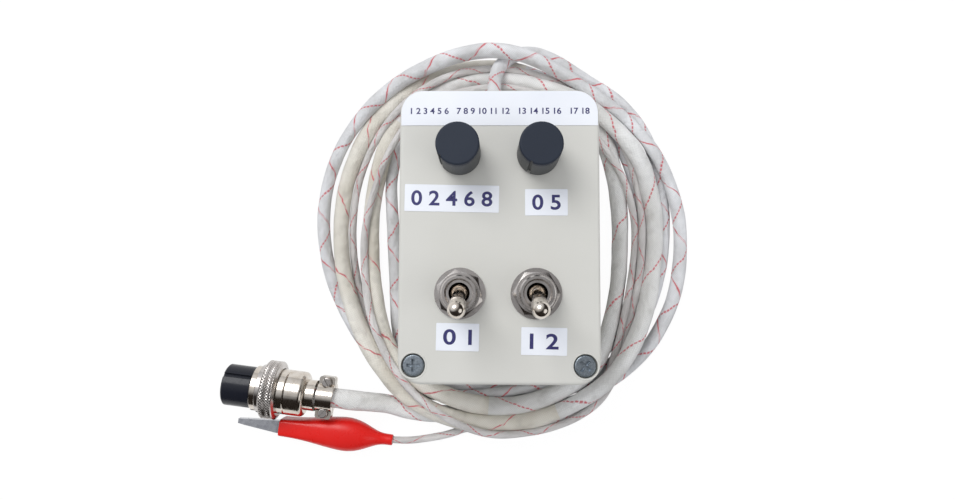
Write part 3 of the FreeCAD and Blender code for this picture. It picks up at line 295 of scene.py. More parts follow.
# %% Stations of the lead
lead_turns = [
    (222, 68.6, 5), (209.9, 64.4, 2.5), (197.7, 61.6, 2.1), (185.5, 61, 2.5), (171.5, 61.2, 3),
    (157.6, 62.5, 3.6), (143.1, 64.3, 4.7), (130.6, 65.3, 8.1), (117.8, 66.7, 8.9),
    (104.8, 67.7, 7.9), (90.6, 67.2, 6.7), (75.5, 65.8, 7.4), (60.4, 64.4, 7.5),
    (48.3, 62.5, 6.2), (39.2, 61.1, 5.9), (27, 58.8, 5.7), (15.8, 56.7, 5.8), (4.7, 55.7, 8),
    (-6.2, 55.5, 8.3), (-18.2, 57, 7.8), (-28.1, 59.2, 6.8), (-37.1, 62, 6), (-45, 67.2, 6.6),
    (-52.9, 72.5, 7.4), (-61.8, 77.4, 7.9), (-74.6, 79.1, 9), (-89.3, 78.9, 12.2),
    (-97.3, 77.7, 14.3), (-107.3, 75, 15), (-119.4, 71.4, 14.4), (-130.5, 66.9, 14),
    (-139.6, 63.4, 13.8), (-148.7, 60.6, 12.3), (-157.8, 58.1, 9.8), (-168.8, 55.9, 8.4),
    (-178.8, 55, 8.3), (-189.7, 53.9, 8.6), (-200.5, 53.9, 8.6), (-214.4, 55.8, 8.6),
    (-229.2, 58.6, 8.8), (-244, 59.7, 9.3), (-259, 59.1, 9.6), (-274.1, 58.5, 10.5),
    (-289.5, 56.6, 10.7), (-305, 54.9, 10.2), (-320.2, 52.8, 9.7), (-335.3, 53, 8.7),
    (-350.4, 53, 7.2), (-362.5, 53, 6.8), (-374.6, 53.6, 6.8), (-384.6, 55.1, 7.3),
    (-392.5, 57.5, 7.6), (-400.4, 61.1, 7.6), (-408.3, 66, 7.1), (-416.3, 71.2, 7.6),
    (-424.2, 75.6, 6.1), (-435.1, 77.2, 3.6), (-449.9, 77.7, 2.7), (-459.9, 78.3, 2.3),
]
clip_end = [(-18.5, -75.0, 1.9), (-27.5, -76.8, 2.2), (-37.2, -77.4, 5.2), (-48.1, -76.1, 5.7)]
lead_route = [station(*s) for s in lead_turns] + clip_end
print("control points of the lead:", len(lead_route))

# %% [markdown]
# ## A line through the stations
# A NURBS curve of order 3 runs smoothly inside its control points, as a limp cable does. Blender
# turns it into a mesh of plain points when it has no bevel, and those points carry the tube.

# %% Read the points of a smooth line
NURBS_ORDER = 3
STEPS_BETWEEN_STATIONS = 12


def smooth_line(name, route_mm):
    """points in metres along a curve whose control points are in mm"""
    made = bpy.data.curves.new(name, "CURVE")
    made.dimensions = "3D"
    spline = made.splines.new("NURBS")
    spline.points.add(len(route_mm) - 1)
    for point, place in zip(spline.points, route_mm):
        point.co = [v * MM for v in place] + [1.0]
    spline.order_u = NURBS_ORDER
    spline.use_endpoint_u = True
    spline.resolution_u = STEPS_BETWEEN_STATIONS
    holder = bpy.data.objects.new(name, made)
    line = bpy.data.meshes.new_from_object(holder)
    points = [v.co.copy() for v in line.vertices]
    bpy.data.meshes.remove(line)
    bpy.data.objects.remove(holder)
    bpy.data.curves.remove(made)
    return points


def distances(points):
    """how far along the line each point lies"""
    total, out = 0.0, [0.0]
    for a, b in zip(points, points[1:]):
        total += (b - a).length
        out.append(total)
    return out


cable_line = smooth_line("cable_line", cable_route)
lead_line = smooth_line("lead_line", lead_route)
cable_length = distances(cable_line)[-1]
lead_length = distances(lead_line)[-1]
print("lengths in mm:", round(cable_length / MM), round(lead_length / MM))

# %% [markdown]
# ## A flat grid for a sleeve
# The sleeve is a flat grid rolled round the line: one side of the grid follows the length, the
# other goes round. Its UV map keeps real millimetres along the cable and one turn around it, so
# the woven tracers wind at their real spacing. Each face takes the finish of its stretch.

# %% Lay out the grid
ROUND_STEPS = 24


def flat_grid(far, finishes):
    """a grid as long as the list of distances, and each point's step along and round"""
    shape = bmesh.new()
    uv = shape.loops.layers.uv.new("along_and_round")
    long_steps = len(far) - 1
    bmesh.ops.create_grid(shape, x_segments=long_steps, y_segments=ROUND_STEPS, size=1.0)
    spot = {v: (round((v.co.x + 1) / 2 * long_steps),
                round((v.co.y + 1) / 2 * ROUND_STEPS)) for v in shape.verts}
    for face in shape.faces:
        for loop in face.loops:
            i, j = spot[loop.vert]
            loop[uv].uv = (far[i], j / ROUND_STEPS)
        middle = sum(far[spot[v][0]] for v in face.verts) / len(face.verts)
        face.material_index = next(k for k, (end, _) in enumerate(finishes) if middle <= end)
        face.smooth = True
    return shape, spot


print("faces of a sleeve per step along:", ROUND_STEPS)

# %% [markdown]
# ## Rolling the grid up
# Every point of the line carries two directions square to it, passed on from the point before,
# so the tube doesn't twist. The sleeve is loose on its wires: its thickness follows a table,
# waves of several lengths make it uneven, and it is flattened first one way and then another.
# What would sink into the table is pressed flat on it.

# %% Roll a sleeve
FLATNESS = 0.8
FLAT_TURN_MM = 23.0
WAVES = 9
WAVE_LENGTHS_MM = (6, 38)
WAVE_PHASES = (0, 6.28)
MOST_LOBES = 3
TABLE_GAP_MM = 0.05
SEAM_M = 1e-6


def along(table, at):
    """value at a distance, between the rows of a table of (distance, value)"""
    for (x0, y0), (x1, y1) in zip(table, table[1:]):
        if at <= x1:
            return y0 + (y1 - y0) * max(0.0, at - x0) / (x1 - x0)
    return table[-1][1]


def cross_directions(points):
    """the two directions square to the line at each of its points"""
    across = Vector((0, 0, 1)).cross((points[1] - points[0]).normalized()).normalized()
    out = []
    for i in range(len(points)):
        ahead = (points[min(i + 1, len(points) - 1)] - points[max(i - 1, 0)]).normalized()
        across = (across - ahead * across.dot(ahead)).normalized()
        out.append((across, ahead.cross(across)))
    return out


def sleeve(name, points, half_widths, unevenness, seed, finishes):
    """half_widths: (mm along, mm); finishes: (mm along where it ends, material)"""
    far = [d / MM for d in distances(points)]
    shape, spot = flat_grid(far, finishes)
    wander = random.Random(seed)
    waves = [(wander.uniform(*WAVE_LENGTHS_MM), wander.uniform(*WAVE_PHASES),
              wander.randint(0, MOST_LOBES)) for _ in range(WAVES)]
    sides = cross_directions(points)
    for v, (i, j) in spot.items():
        angle = 2 * math.pi * j / ROUND_STEPS
        puff = sum(math.sin(far[i] * 2 * math.pi / length + phase + lobes * angle)
                   for length, phase, lobes in waves) / len(waves)
        puff += FLATNESS * math.cos(2 * angle - far[i] / FLAT_TURN_MM)
        radius = along(half_widths, far[i]) * (1 + unevenness * puff) * MM
        across, upwards = sides[i]
        v.co = points[i] + (across * math.cos(angle) + upwards * math.sin(angle)) * radius
        v.co.z = max(v.co.z, TABLE_GAP_MM * MM)
    bmesh.ops.remove_doubles(shape, verts=shape.verts, dist=SEAM_M)
    ends = [e for e in shape.edges if e.is_boundary]
    bmesh.ops.holes_fill(shape, edges=ends, sides=0)
    bmesh.ops.recalc_face_normals(shape, faces=shape.faces)
    return piece(name, shape, [finish for _, finish in finishes])


print("waves in a sleeve:", WAVES)

# %% [markdown]
# ## Yarn and wrinkles
# The cable is wrapped in a white woven sleeve of polyester yarn. The weave is two families of
# threads that cross. Real yarn is about 0.4 mm wide, and it is drawn 0.7 to 0.9 mm wide, because
# finer threads are lost in the render. The sleeve is loose, so it also has long soft wrinkles.
#
# The UV map counts millimetres along and turns round, so its dot product with (a, b, 0) grows by
# a in each millimetre and by b in each turn. Where that stays the same, a thread winds round.

# %% Weave the yarn
WRINKLE_MM = 7.0
WRINKLES_ROUND = 3.0


def yarn_and_wrinkles(tree, cloth, yarn_mm, round_mm):
    """the threads' height, 0 in the gaps between them, and the wrinkles' height"""
    waves = []
    for hand in (1, -1):
        threads = add(tree, "VectorMath", {"operation": "DOT_PRODUCT"}, {
            0: cloth, 1: (math.pi / yarn_mm, hand * math.pi * round_mm / yarn_mm, 0)})
        waves.append(add(tree, "Math", {"operation": "SINE"}, {0: threads.outputs["Value"]}))
    crossed = add(tree, "Math", {"operation": "MULTIPLY"}, {
        0: waves[0].outputs[0], 1: waves[1].outputs[0]})
    weave = add(tree, "Math", {"operation": "ABSOLUTE"}, {0: crossed.outputs[0]})
    folds = add(tree, "VectorMath", {"operation": "MULTIPLY"}, {
        0: cloth, 1: (1 / WRINKLE_MM, WRINKLES_ROUND, 0)})
    wrinkle = add(tree, "TexNoise", None, {
        "Vector": folds.outputs["Vector"], "Scale": 1.0, "Detail": 3.0})
    return weave.outputs[0], wrinkle.outputs["Fac"]


print("wrinkles are about", WRINKLE_MM, "mm long")

# %% [markdown]
# ## Tracer yarn
# A red tracer yarn runs through the sleeve. Its distance from the line is a ping-pong of the
# turns counted so far, which is 0 on the line and one half midway to its next turn. It wanders
# with the wrinkles. It is a broken line, because it goes under every other thread.

# %% Draw the tracers
TRACER_WANDER = 0.22
STITCH_YARNS = 2.6


def tracer_marks(tree, cloth, wrinkle, tracers, yarn_mm, round_mm):
    """1 on a tracer and 0 off it; tracers: (mm along per turn, hand, width in mm, start in mm)"""
    stitch_mm = yarn_mm * STITCH_YARNS
    stitches = add(tree, "VectorMath", {"operation": "DOT_PRODUCT"}, {
        0: cloth, 1: (1 / stitch_mm, round_mm / stitch_mm, 0)})
    in_stitch = add(tree, "Math", {"operation": "FRACT"}, {0: stitches.outputs["Value"]})
    on_top = add(tree, "MapRange", None, {
        "Value": in_stitch.outputs[0], "From Min": 0.22, "From Max": 0.42, "To Min": 0.25})
    marks = 0.0
    for pitch, hand, width, start in tracers:
        turns = add(tree, "VectorMath", {"operation": "DOT_PRODUCT"}, {
            0: cloth, 1: (1 / pitch, hand, 0)})
        wandered = add(tree, "Math", {"operation": "MULTIPLY_ADD"}, {
            0: wrinkle, 1: TRACER_WANDER, 2: turns.outputs["Value"]})
        started = add(tree, "Math", {"operation": "ADD"}, {
            0: wandered.outputs[0], 1: start / pitch + 0.5})
        off_line = add(tree, "Math", {"operation": "PINGPONG"}, {
            0: started.outputs[0], 1: 0.5})
        stripe = add(tree, "MapRange", None, {
            "Value": off_line.outputs[0], "From Min": 0.1 * width / pitch,
            "From Max": 0.65 * width / pitch, "To Min": on_top.outputs["Result"], "To Max": 0.0})
        marks = add(tree, "Math", {"operation": "MAXIMUM"}, {
            0: stripe.outputs["Result"], 1: marks}).outputs[0]
    return marks


print("a tracer's stitch is", STITCH_YARNS, "yarns long")

# %% [markdown]
# ## Woven sleeve
# Matt yarn has no sharp highlight, so the finish is rough with a little sheen. The colour is
# built up in layers: clouds of dirt, painted shade in the gaps between the threads, painted
# shade in the folds and the tracer. The wide stretches, the narrow ones and the lead each have
# their own sleeve.

# %% Finish of the woven sleeves
# the gap grey and the fold grey are painted shade, in the gaps between the threads and in the
# folds
YARN_GAP_SHADE, FOLD_SHADE, TRACER_RED = "#b4b1ab", "#a5a19a", "#d2626a"
CLOUD_MM = 18
WRINKLE_DEPTH_MM = 2.2
WEAVE_DEPTH_MM = 0.11


def woven_sleeve(name, base, dirt, tracers, yarn_mm, round_mm):
    made, tree = empty_material(name)
    cloth = add(tree, "UVMap", {"uv_map": "along_and_round"}).outputs["UV"]
    weave, wrinkle = yarn_and_wrinkles(tree, cloth, yarn_mm, round_mm)
    marks = tracer_marks(tree, cloth, wrinkle, tracers, yarn_mm, round_mm)
    place = add(tree, "TexCoord").outputs["Object"]
    cloudy = add(tree, "TexNoise", None, {
        "Vector": place, "Scale": 1 / (CLOUD_MM * MM), "Detail": 4})
    dirty = add(tree, "MapRange", None, {
        "Value": cloudy.outputs["Fac"], "From Min": 0.35, "From Max": 0.65})
    # painted shade: the gaps between the threads are darkened towards the gap grey
    gaps = add(tree, "MapRange", None, {
        "Value": weave, "From Max": 0.5, "To Min": 0.25, "To Max": 0.0})
    folded = add(tree, "MapRange", None, {
        "Value": wrinkle, "From Min": 0.28, "From Max": 0.45, "To Min": 0.3, "To Max": 0.0})
    body = colour(base)
    for share, code in ((dirty.outputs["Result"], dirt), (gaps.outputs["Result"], YARN_GAP_SHADE),
                        (folded.outputs["Result"], FOLD_SHADE), (marks, TRACER_RED)):
        body = add(tree, "Mix", {"data_type": "RGBA"}, {
            0: share, 6: body, 7: colour(code)}).outputs[2]
    height = add(tree, "Math", {"operation": "MULTIPLY_ADD"}, {
        0: weave, 1: WEAVE_DEPTH_MM / WRINKLE_DEPTH_MM, 2: wrinkle})
    relief = add(tree, "Bump", None, {
        "Height": height.outputs[0], "Distance": WRINKLE_DEPTH_MM * MM})
    shader = add(tree, "BsdfPrincipled", None, {
        "Base Color": body, "Roughness": 0.82, "Sheen Weight": 0.25, "Sheen Roughness": 0.5,
        "Normal": relief.outputs["Normal"]})
    add(tree, "OutputMaterial", None, {"Surface": shader.outputs["BSDF"]})
    return made


# painted light: the turns right of the box and those left of it take two copies of one wide
# sleeve, a whiter one and a creamier one
wide_right_painted_whiter = woven_sleeve("woven_sleeve_wide", "#f7f7f6", "#dfdedb",
                          [(31.0, -1, 1.3, 4.0)], 0.9, 20)
wide_left_painted_creamier = woven_sleeve("woven_sleeve_wide_back", "#f4f0e6", "#dcd6c8",
                         [(31.0, 1, 1.3, 12.0)], 0.9, 20)
narrow = woven_sleeve("woven_sleeve_narrow", "#f3f4f7", "#d6d6d7",
                      [(20.0, 1, 1.3, 0.0), (20.0, -1, 1.3, 6.0)], 0.8, 15)
thin = woven_sleeve("woven_sleeve_lead", "#eeebe9", "#cfcbc9",
                    [(21.0, 1, 1.2, 0.0), (21.0, -1, 1.2, 3.0)], 0.7, 9)
print("sleeves:", wide_right_painted_whiter.name, wide_left_painted_creamier.name, narrow.name, thin.name)

# %% [markdown]
# ## Plastics, rubber and paper
# The case is moulded ABS in a pale warm grey, and the other plain parts differ from it in colour,
# roughness and grain: printed label tape, dark ABS knobs, phenolic board, rubber, nylon, PVC.
# Moulding leaves a fine spark-eroded texture, which breaks the highlight up, and handling leaves
# faint patches. Real grit is about 0.1 mm, and it is drawn 0.5 mm wide or more, because finer
# grit is lost in the render. PVC, nylon and tape are smoother, with longer, shallower waves.

# %% Finish the plain parts
PATCH_MM = 25
ROUGHNESS_SPREAD = 0.06


def moulded(name, base, worn, rough, texture_mm, depth_mm, gloss=0.5):
    """gloss is the specular level: 0.5 for bare plastic, less for a dusty or waxy one"""
    made, tree = empty_material(name)
    place = add(tree, "TexCoord").outputs["Object"]
    patches = add(tree, "TexNoise", None, {
        "Vector": place, "Scale": 1 / (PATCH_MM * MM), "Detail": 3})
    handled = add(tree, "MapRange", None, {
        "Value": patches.outputs["Fac"], "From Min": 0.35, "From Max": 0.75, "To Max": 0.6})
    mixed = add(tree, "Mix", {"data_type": "RGBA"}, {
        0: handled.outputs["Result"], 6: colour(base), 7: colour(worn)})
    fine = add(tree, "TexNoise", None, {
        "Vector": place, "Scale": 1 / (texture_mm * MM), "Detail": 2})
    roughness = add(tree, "MapRange", None, {
        "Value": fine.outputs["Fac"], "From Min": 0.3, "From Max": 0.7,
        "To Min": rough - ROUGHNESS_SPREAD, "To Max": rough + ROUGHNESS_SPREAD})
    relief = add(tree, "Bump", None, {
        "Height": fine.outputs["Fac"], "Distance": depth_mm * MM, "Strength": 0.6})
    shader = add(tree, "BsdfPrincipled", None, {
        "Base Color": mixed.outputs[2], "Roughness": roughness.outputs["Result"], "IOR": 1.53,
        "Specular IOR Level": gloss, "Normal": relief.outputs["Normal"]})
    add(tree, "OutputMaterial", None, {"Surface": shader.outputs["BSDF"]})
    return made


# slot: name, colour, colour of the patches, roughness, grain in mm, its depth in mm, gloss
PLAIN_PARTS = {
    # spark-eroded ABS: matt, with a broad soft highlight
    "case_plastic": ("abs_pale_grey", "#d6d5cf", "#cfcec7", 0.5, 0.6, 0.02),
    # coated paper tape: brighter and smoother than the case
    "strip_white": ("label_tape", "#f3f6fc", "#e6eaf4", 0.42, 1.5, 0.005),
    # gritty black ABS, and the flatter slate of the pressed-in caps
    "knob_plastic": ("knob_black_plastic", "#36393c", "#45484a", 0.5, 0.5, 0.03, 0.4),
    "cap_plastic": ("cap_slate_plastic", "#262d3a", "#303845", 0.55, 0.5, 0.02, 0.25),
    # pressed phenolic board: brown, blotchy and dull
    "brown_phenolic": ("phenolic_board", "#6b4a2c", "#583a20", 0.5, 0.8, 0.02),
    # rubber: no highlight to speak of
    "grommet_rubber": ("black_rubber", "#2b2b2c", "#343434", 0.75, 0.5, 0.03),
    # moulded nylon: milky and waxy
    "tie_nylon": ("natural_nylon", "#e4e0d2", "#d8d3c2", 0.4, 1.0, 0.01),
    # drawn PVC insulation: smooth, its colour changing from red to grey along the bundle
    "wire_pvc": ("wire_insulation", "#b64a3a", "#8d8f93", 0.4, 6.0, 0.01),
    # polished mould: nearly black, with one narrow highlight
    "insert_plastic": ("insert_black_plastic", "#1d1f28", "#25272f", 0.22, 1.0, 0.008, 0.22),
    # dipped soft PVC: even red with a waxy shine
    "boot_red": ("boot_red_pvc", "#e8201a", "#da1a16", 0.3, 4.0, 0.02, 0.35),
}
finish = {slot: moulded(*values) for slot, values in PLAIN_PARTS.items()}
finish["cable_sleeve"] = wide_right_painted_whiter
finish["lead_sleeve"] = thin
print("plain finishes:", len(PLAIN_PARTS))

# %% [markdown]
# ## Plated metal
# Nickel and zinc plate, tinned brass. The plate follows the fine marks of the tools that made the
# part, so colour, roughness and relief change together in one noise. The colour of a metal comes
# from its own reflection, so these keep the default IOR.

# %% Finish the metal parts
def plated(name, base, shaded, rough, mark_mm, depth_mm):
    made, tree = empty_material(name)
    place = add(tree, "TexCoord").outputs["Object"]
    marks = add(tree, "TexNoise", None, {
        "Vector": place, "Scale": 1 / (mark_mm * MM), "Detail": 4}).outputs["Fac"]
    dulled = add(tree, "MapRange", None, {"Value": marks, "From Min": 0.3, "From Max": 0.75})
    mixed = add(tree, "Mix", {"data_type": "RGBA"}, {
        0: dulled.outputs["Result"], 6: colour(base), 7: colour(shaded)})
    roughness = add(tree, "MapRange", None, {
        "Value": marks, "From Min": 0.3, "From Max": 0.7, "To Min": rough,
        "To Max": rough + 0.12})
    relief = add(tree, "Bump", None, {
        "Height": marks, "Distance": depth_mm * MM, "Strength": 0.5})
    shader = add(tree, "BsdfPrincipled", None, {
        "Base Color": mixed.outputs[2], "Roughness": roughness.outputs["Result"],
        "Metallic": 1.0, "Normal": relief.outputs["Normal"]})
    add(tree, "OutputMaterial", None, {"Surface": shader.outputs["BSDF"]})
    return made


# slot: name, colour, colour of the dull marks, roughness, marks in mm, their depth in mm
METAL_PARTS = {
    # zinc on steel: bluish grey, cloudy
    "screw_steel": ("zinc_plated_screw", "#b4bec7", "#7b8690", 0.36, 0.6, 0.05),
    # nickel plate: a warm mirror on the connector and the levers, duller on nuts and washers
    "bright_nickel": ("bright_nickel_plate", "#d9d3cb", "#c4baae", 0.1, 2.0, 0.01),
    "dull_nickel": ("dull_nickel_plate", "#cdc9c6", "#b3ada9", 0.17, 3.0, 0.006),
    # turned and stamped steel, zinc plated: soft cloudy reflections
    "zinc_steel": ("zinc_plated_steel", "#bfbdbb", "#a19d9b", 0.18, 4.0, 0.006),
    # tinned brass: yellow where the tin is thin
    "solder_brass": ("tinned_brass", "#c9b27a", "#b4ab98", 0.28, 0.8, 0.02),
    # nickel on spring steel: cool and a little worn
    "clip_steel": ("clip_nickel_steel", "#c3c5ca", "#9fa1a8", 0.2, 1.8, 0.012),
}
finish.update({slot: plated(*values) for slot, values in METAL_PARTS.items()})
print("metal finishes:", len(METAL_PARTS))

# %% [markdown]
# ## Dressing the parts of the frame
# The record names the material slot of every part, and the slot names its finish.

# %% Give each part its finish
for part in frame["record"]["subparts"]:
    mesh = nodes[part["node"]].data
    if not mesh.materials:
        mesh.materials.append(None)
    for k in range(len(mesh.materials)):
        mesh.materials[k] = finish[part["material_slot"]]
print("finishes:", sorted(finish))

# %% [markdown]
# ## Locking ring
# The ring screws the connector to its socket. Its profile is a chain of points that is spun once
# round the connector's axis: a plain collar in front, then the band, with rows of points for the
# knurl, and a slope at the back.

# %% Spin the ring
joints = {j["name"]: j for j in frame["record"]["behaviour"]["joints"]}
plug_axis = Vector(joints["lock_ring_turn"]["axis"]).normalized()
ring_low, ring_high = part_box("coupling_ring")
ring_middle = (Vector(ring_low) + Vector(ring_high)) / 2
RING_BORE, COLLAR, BAND = 8.7, 9.2, 11.2
BAND_FRONT, BAND_BACK = -1.5, 3.1
RING_FRONT = [(-4.0, RING_BORE), (-4.0, COLLAR - 0.25), (-3.75, COLLAR), (-1.95, COLLAR),
              (-1.85, BAND - 0.35), (BAND_FRONT, BAND)]
RING_BACK = [(BAND_BACK, BAND), (3.4, BAND - 0.3), (4.0, BAND - 1.5), (4.0, RING_BORE)]
BAND_ROWS = 18
DIAMONDS_ROUND = 62
STEPS_PER_DIAMOND = 4

band_rows = [(BAND_FRONT + (BAND_BACK - BAND_FRONT) * k / BAND_ROWS, BAND)
             for k in range(1, BAND_ROWS)]
shape = bmesh.new()
chain = [shape.verts.new((x, 0, r)) for x, r in RING_FRONT + band_rows + RING_BACK]
for a, b in zip(chain, chain[1:] + chain[:1]):
    shape.edges.new((a, b))
bmesh.ops.spin(shape, geom=shape.verts[:] + shape.edges[:], cent=(0, 0, 0), axis=(1, 0, 0),
               angle=2 * math.pi, steps=DIAMONDS_ROUND * STEPS_PER_DIAMOND, use_merge=True)
print("points of the ring:", len(shape.verts))

# %% [markdown]
# ## Knurl on the ring
# A roller has pressed two crossing sets of grooves into the band and left rows of small
# diamonds. Each point of the band sinks as far as the deeper of its two grooves. The sets differ
# only in hand, so they are one sawtooth taken twice. Then the ring goes to its place.

# %% Press the knurl
DIAMOND_MM = 1.14
KNURL_MM = 0.3
PLAIN_EDGE_MM = 0.05


def sawtooth(value):
    """0 at whole numbers, 1 halfway between them"""
    return 1 - abs(2 * (value % 1.0) - 1)


for v in shape.verts:
    radius = math.hypot(v.co.y, v.co.z)
    on_band = BAND_FRONT + PLAIN_EDGE_MM < v.co.x < BAND_BACK - PLAIN_EDGE_MM
    if on_band and radius > BAND - 0.01:
        around = math.atan2(v.co.y, v.co.z) / (2 * math.pi) * DIAMONDS_ROUND
        along_axis = v.co.x / DIAMOND_MM
        rise = min(sawtooth(around + along_axis), sawtooth(around - along_axis))
        keep = 1 - KNURL_MM * (1 - rise) / BAND
        v.co.y *= keep
        v.co.z *= keep
bmesh.ops.recalc_face_normals(shape, faces=shape.faces)
lay = Vector((1, 0, 0)).rotation_difference(plug_axis).to_matrix().to_4x4()
bmesh.ops.transform(shape, matrix=Matrix.Translation(ring_middle) @ lay @ Matrix.Scale(MM, 4),
                    verts=shape.verts)
ring = piece("knurled_ring", shape, [finish["dull_nickel"]])
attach(ring, "lock_ring")
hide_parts("coupling_ring")
print("ring faces:", len(ring.data.polygons))

# %% [markdown]
# ## Boot of the test clip
# The boot is dipped soft PVC: boxy at its mouth, full over the handles and drawn in to a round
# neck on the lead. A circle is extruded once for each section, from inside the neck forwards to
# the mouth and back along the outside, so it is a closed skin with a real wall.

# %% Extrude the boot
BOOT_WALL = 0.5
LEAD_BORE = 1.45
BOOT_ROUND = 36
# mm behind the clip's pivot, half width, half height, squareness (2 is an ellipse)
BOOT_SECTIONS = [(-3.2, 3.3, 5.2, 6.0), (-2.9, 3.4, 5.25, 6.0), (0, 3.5, 5.25, 5.0),
                 (5, 3.95, 5.25, 4.0), (10, 4.8, 5.35, 3.0), (15, 5.75, 5.5, 2.6),
                 (20, 6.45, 5.65, 2.4), (23.5, 6.6, 5.68, 2.3), (27, 6.0, 5.4, 2.2),
                 (30, 4.9, 4.7, 2.0), (33, 3.5, 3.5, 2.0), (35.5, 2.45, 2.45, 2.0),
                 (38, 2.1, 2.1, 2.0), (40.6, 2.15, 2.15, 2.0), (41.0, 2.05, 2.05, 2.0)]
inside = [(at, max(wide - BOOT_WALL, LEAD_BORE), max(tall - BOOT_WALL, LEAD_BORE), square)
          for at, wide, tall, square in reversed(BOOT_SECTIONS)]
boot_rows = inside + BOOT_SECTIONS

shape = bmesh.new()
bmesh.ops.create_circle(shape, cap_ends=False, segments=BOOT_ROUND, radius=1.0)
first_rim = rim = shape.edges[:]
for _ in boot_rows[1:]:
    grown = bmesh.ops.extrude_edge_only(shape, edges=rim)["geom"]
    fresh = [g for g in grown if isinstance(g, bmesh.types.BMVert)]
    rim = [g for g in grown if isinstance(g, bmesh.types.BMEdge)
           and g.verts[0] in fresh and g.verts[1] in fresh]
    bmesh.ops.translate(shape, vec=(0, 0, 1), verts=fresh)
bmesh.ops.bridge_loops(shape, edges=first_rim + rim)
print("loops of the boot:", len(boot_rows))

# %% [markdown]
# ## Shaping the boot
# Each loop of the straight tube now takes the width, height and squareness of its section. The
# mouth is high and square enough for the jaw that opens in it. One level of subdivision rounds
# the skin, and it stays a modifier.

# %% Shape the boot
across_clip = Vector(joints["clip_open"]["axis"]).normalized()
along_clip = across_clip.cross(Vector((0, 0, 1))).normalized()
clip_pivot = Vector(joints["clip_open"]["pos_m"])


def squared(value, squareness):
    """a sine or cosine bent so that the ellipse it draws gets corners"""
    return math.copysign(abs(value) ** (2 / squareness), value)


for v in shape.verts:
    at, wide, tall, square = boot_rows[round(v.co.z)]
    angle = math.atan2(v.co.y, v.co.x)
    place_mm = (across_clip * wide * squared(math.cos(angle), square)
                + Vector((0, 0, 1)) * tall * squared(math.sin(angle), square) + along_clip * at)
    v.co = clip_pivot + place_mm * MM
bmesh.ops.recalc_face_normals(shape, faces=shape.faces)
for face in shape.faces:
    face.smooth = True
boot = piece("clip_boot_skin", shape, [finish["boot_red"]])
rounder = boot.modifiers.new("rounder", "SUBSURF")
rounder.levels = rounder.render_levels = 1
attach(boot, "case")
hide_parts("clip_boot")
print("boot faces before rounding:", len(boot.data.polygons))

# %% [markdown]
# ## The main cable
# The sleeve is narrow where it is pulled tight and wide where it is loose. The loose turns to the
# right of the box are whiter and those to its left creamier: painted light, two copies of one
# sleeve.
# The cable lies coiled, and the connector with its ring is at its far end.

# %% Make the main cable
TO_THE_END = math.inf
CABLE_HALF_WIDTHS = [(0, 2.6), (16, 2.6), (320, 2.4), (379, 2.4), (421, 3.0), (457, 3.3),
                     (1190, 3.3), (1238, 3.0), (1282, 2.2), (1363, 2.2), (1454, 2.4),
                     (1517, 2.5), (1595, 2.8), (1643, 2.8), (1715, 2.5), (1827, 2.5),
                     (1879, 3.2), (1905, 3.5), (1960, 3.5)]
# painted light: the whiter and the creamier copy take turns with the side of the box
CABLE_FINISHES = [(400, narrow), (620, wide_right_painted_whiter), (760, wide_left_painted_creamier), (990, wide_right_painted_whiter),
                  (1240, wide_left_painted_creamier), (1860, narrow), (TO_THE_END, wide_right_painted_whiter)]
cable = sleeve("cable_sleeve", cable_line, CABLE_HALF_WIDTHS, 0.09, 5, CABLE_FINISHES)
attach(cable, "case")
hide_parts("cable_exit", "cable_coil", "cable_tail")
print("cable faces:", len(cable.data.polygons))

# %% [markdown]
# ## The lead
# The lead is made in the same way, thinner and of one finish. Its first station is where it
# comes out of the coil, and the clip with its boot is at its far end.

# %% Make the lead
LEAD_HALF_WIDTHS = [(0, 1.45), (760, 1.45), (830, 1.35)]
lead = sleeve("clip_lead_sleeve", lead_line, LEAD_HALF_WIDTHS, 0.07, 9, [(TO_THE_END, thin)])
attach(lead, "case")
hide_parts("clip_lead")
print("lead faces:", len(lead.data.polygons))

# %% [markdown]
# ## Lips of the screw holes
# The mould leaves a low rounded lip round each counterbore, which catches the light as a pale
# ring. Each lip is a small arch of points spun round its screw. The two upper screws are under
# the title strip, so only the two lower ones have a lip to show.

# %% Spin the lips
lid_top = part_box("lid")[1][2] / MM
screws_low, screws_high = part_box("lid_screws")
SCREW_HEAD = 3.7
LIP_INNER, LIP_WIDE, LIP_HIGH, LIP_SUNK = 4.1, 0.6, 0.12, 0.02
LIP_ARCH_STEPS = 6
LIP_ROUND = 64
shape = bmesh.new()
for middle_x in (screws_low[0] / MM + SCREW_HEAD, screws_high[0] / MM - SCREW_HEAD):
    middle_y = screws_low[1] / MM + SCREW_HEAD
    arch = []
    for k in range(LIP_ARCH_STEPS + 1):
        angle = math.pi * k / LIP_ARCH_STEPS
        arch.append(shape.verts.new((
            middle_x + LIP_INNER + LIP_WIDE * (1 - math.cos(angle)) / 2, middle_y,
            lid_top - LIP_SUNK + LIP_HIGH * math.sin(angle))))
    links = [shape.edges.new(pair) for pair in zip(arch, arch[1:] + arch[:1])]
    bmesh.ops.spin(shape, geom=arch + links, cent=(middle_x, middle_y, 0), axis=(0, 0, 1),
                   angle=2 * math.pi, steps=LIP_ROUND, use_merge=True)
bmesh.ops.recalc_face_normals(shape, faces=shape.faces)
bmesh.ops.scale(shape, vec=(MM, MM, MM), verts=shape.verts)
for face in shape.faces:
    face.smooth = True
lips = piece("screw_hole_lips", shape, [finish["case_plastic"]])
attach(lips, "case")
print("lip faces:", len(lips.data.polygons))

# %% [markdown]
# ## Ink
# The strips are white label tape printed in dark blue. A thermal print is slightly uneven, so
# the ink is two close blues in specks of 0.3 mm, the finest that show.

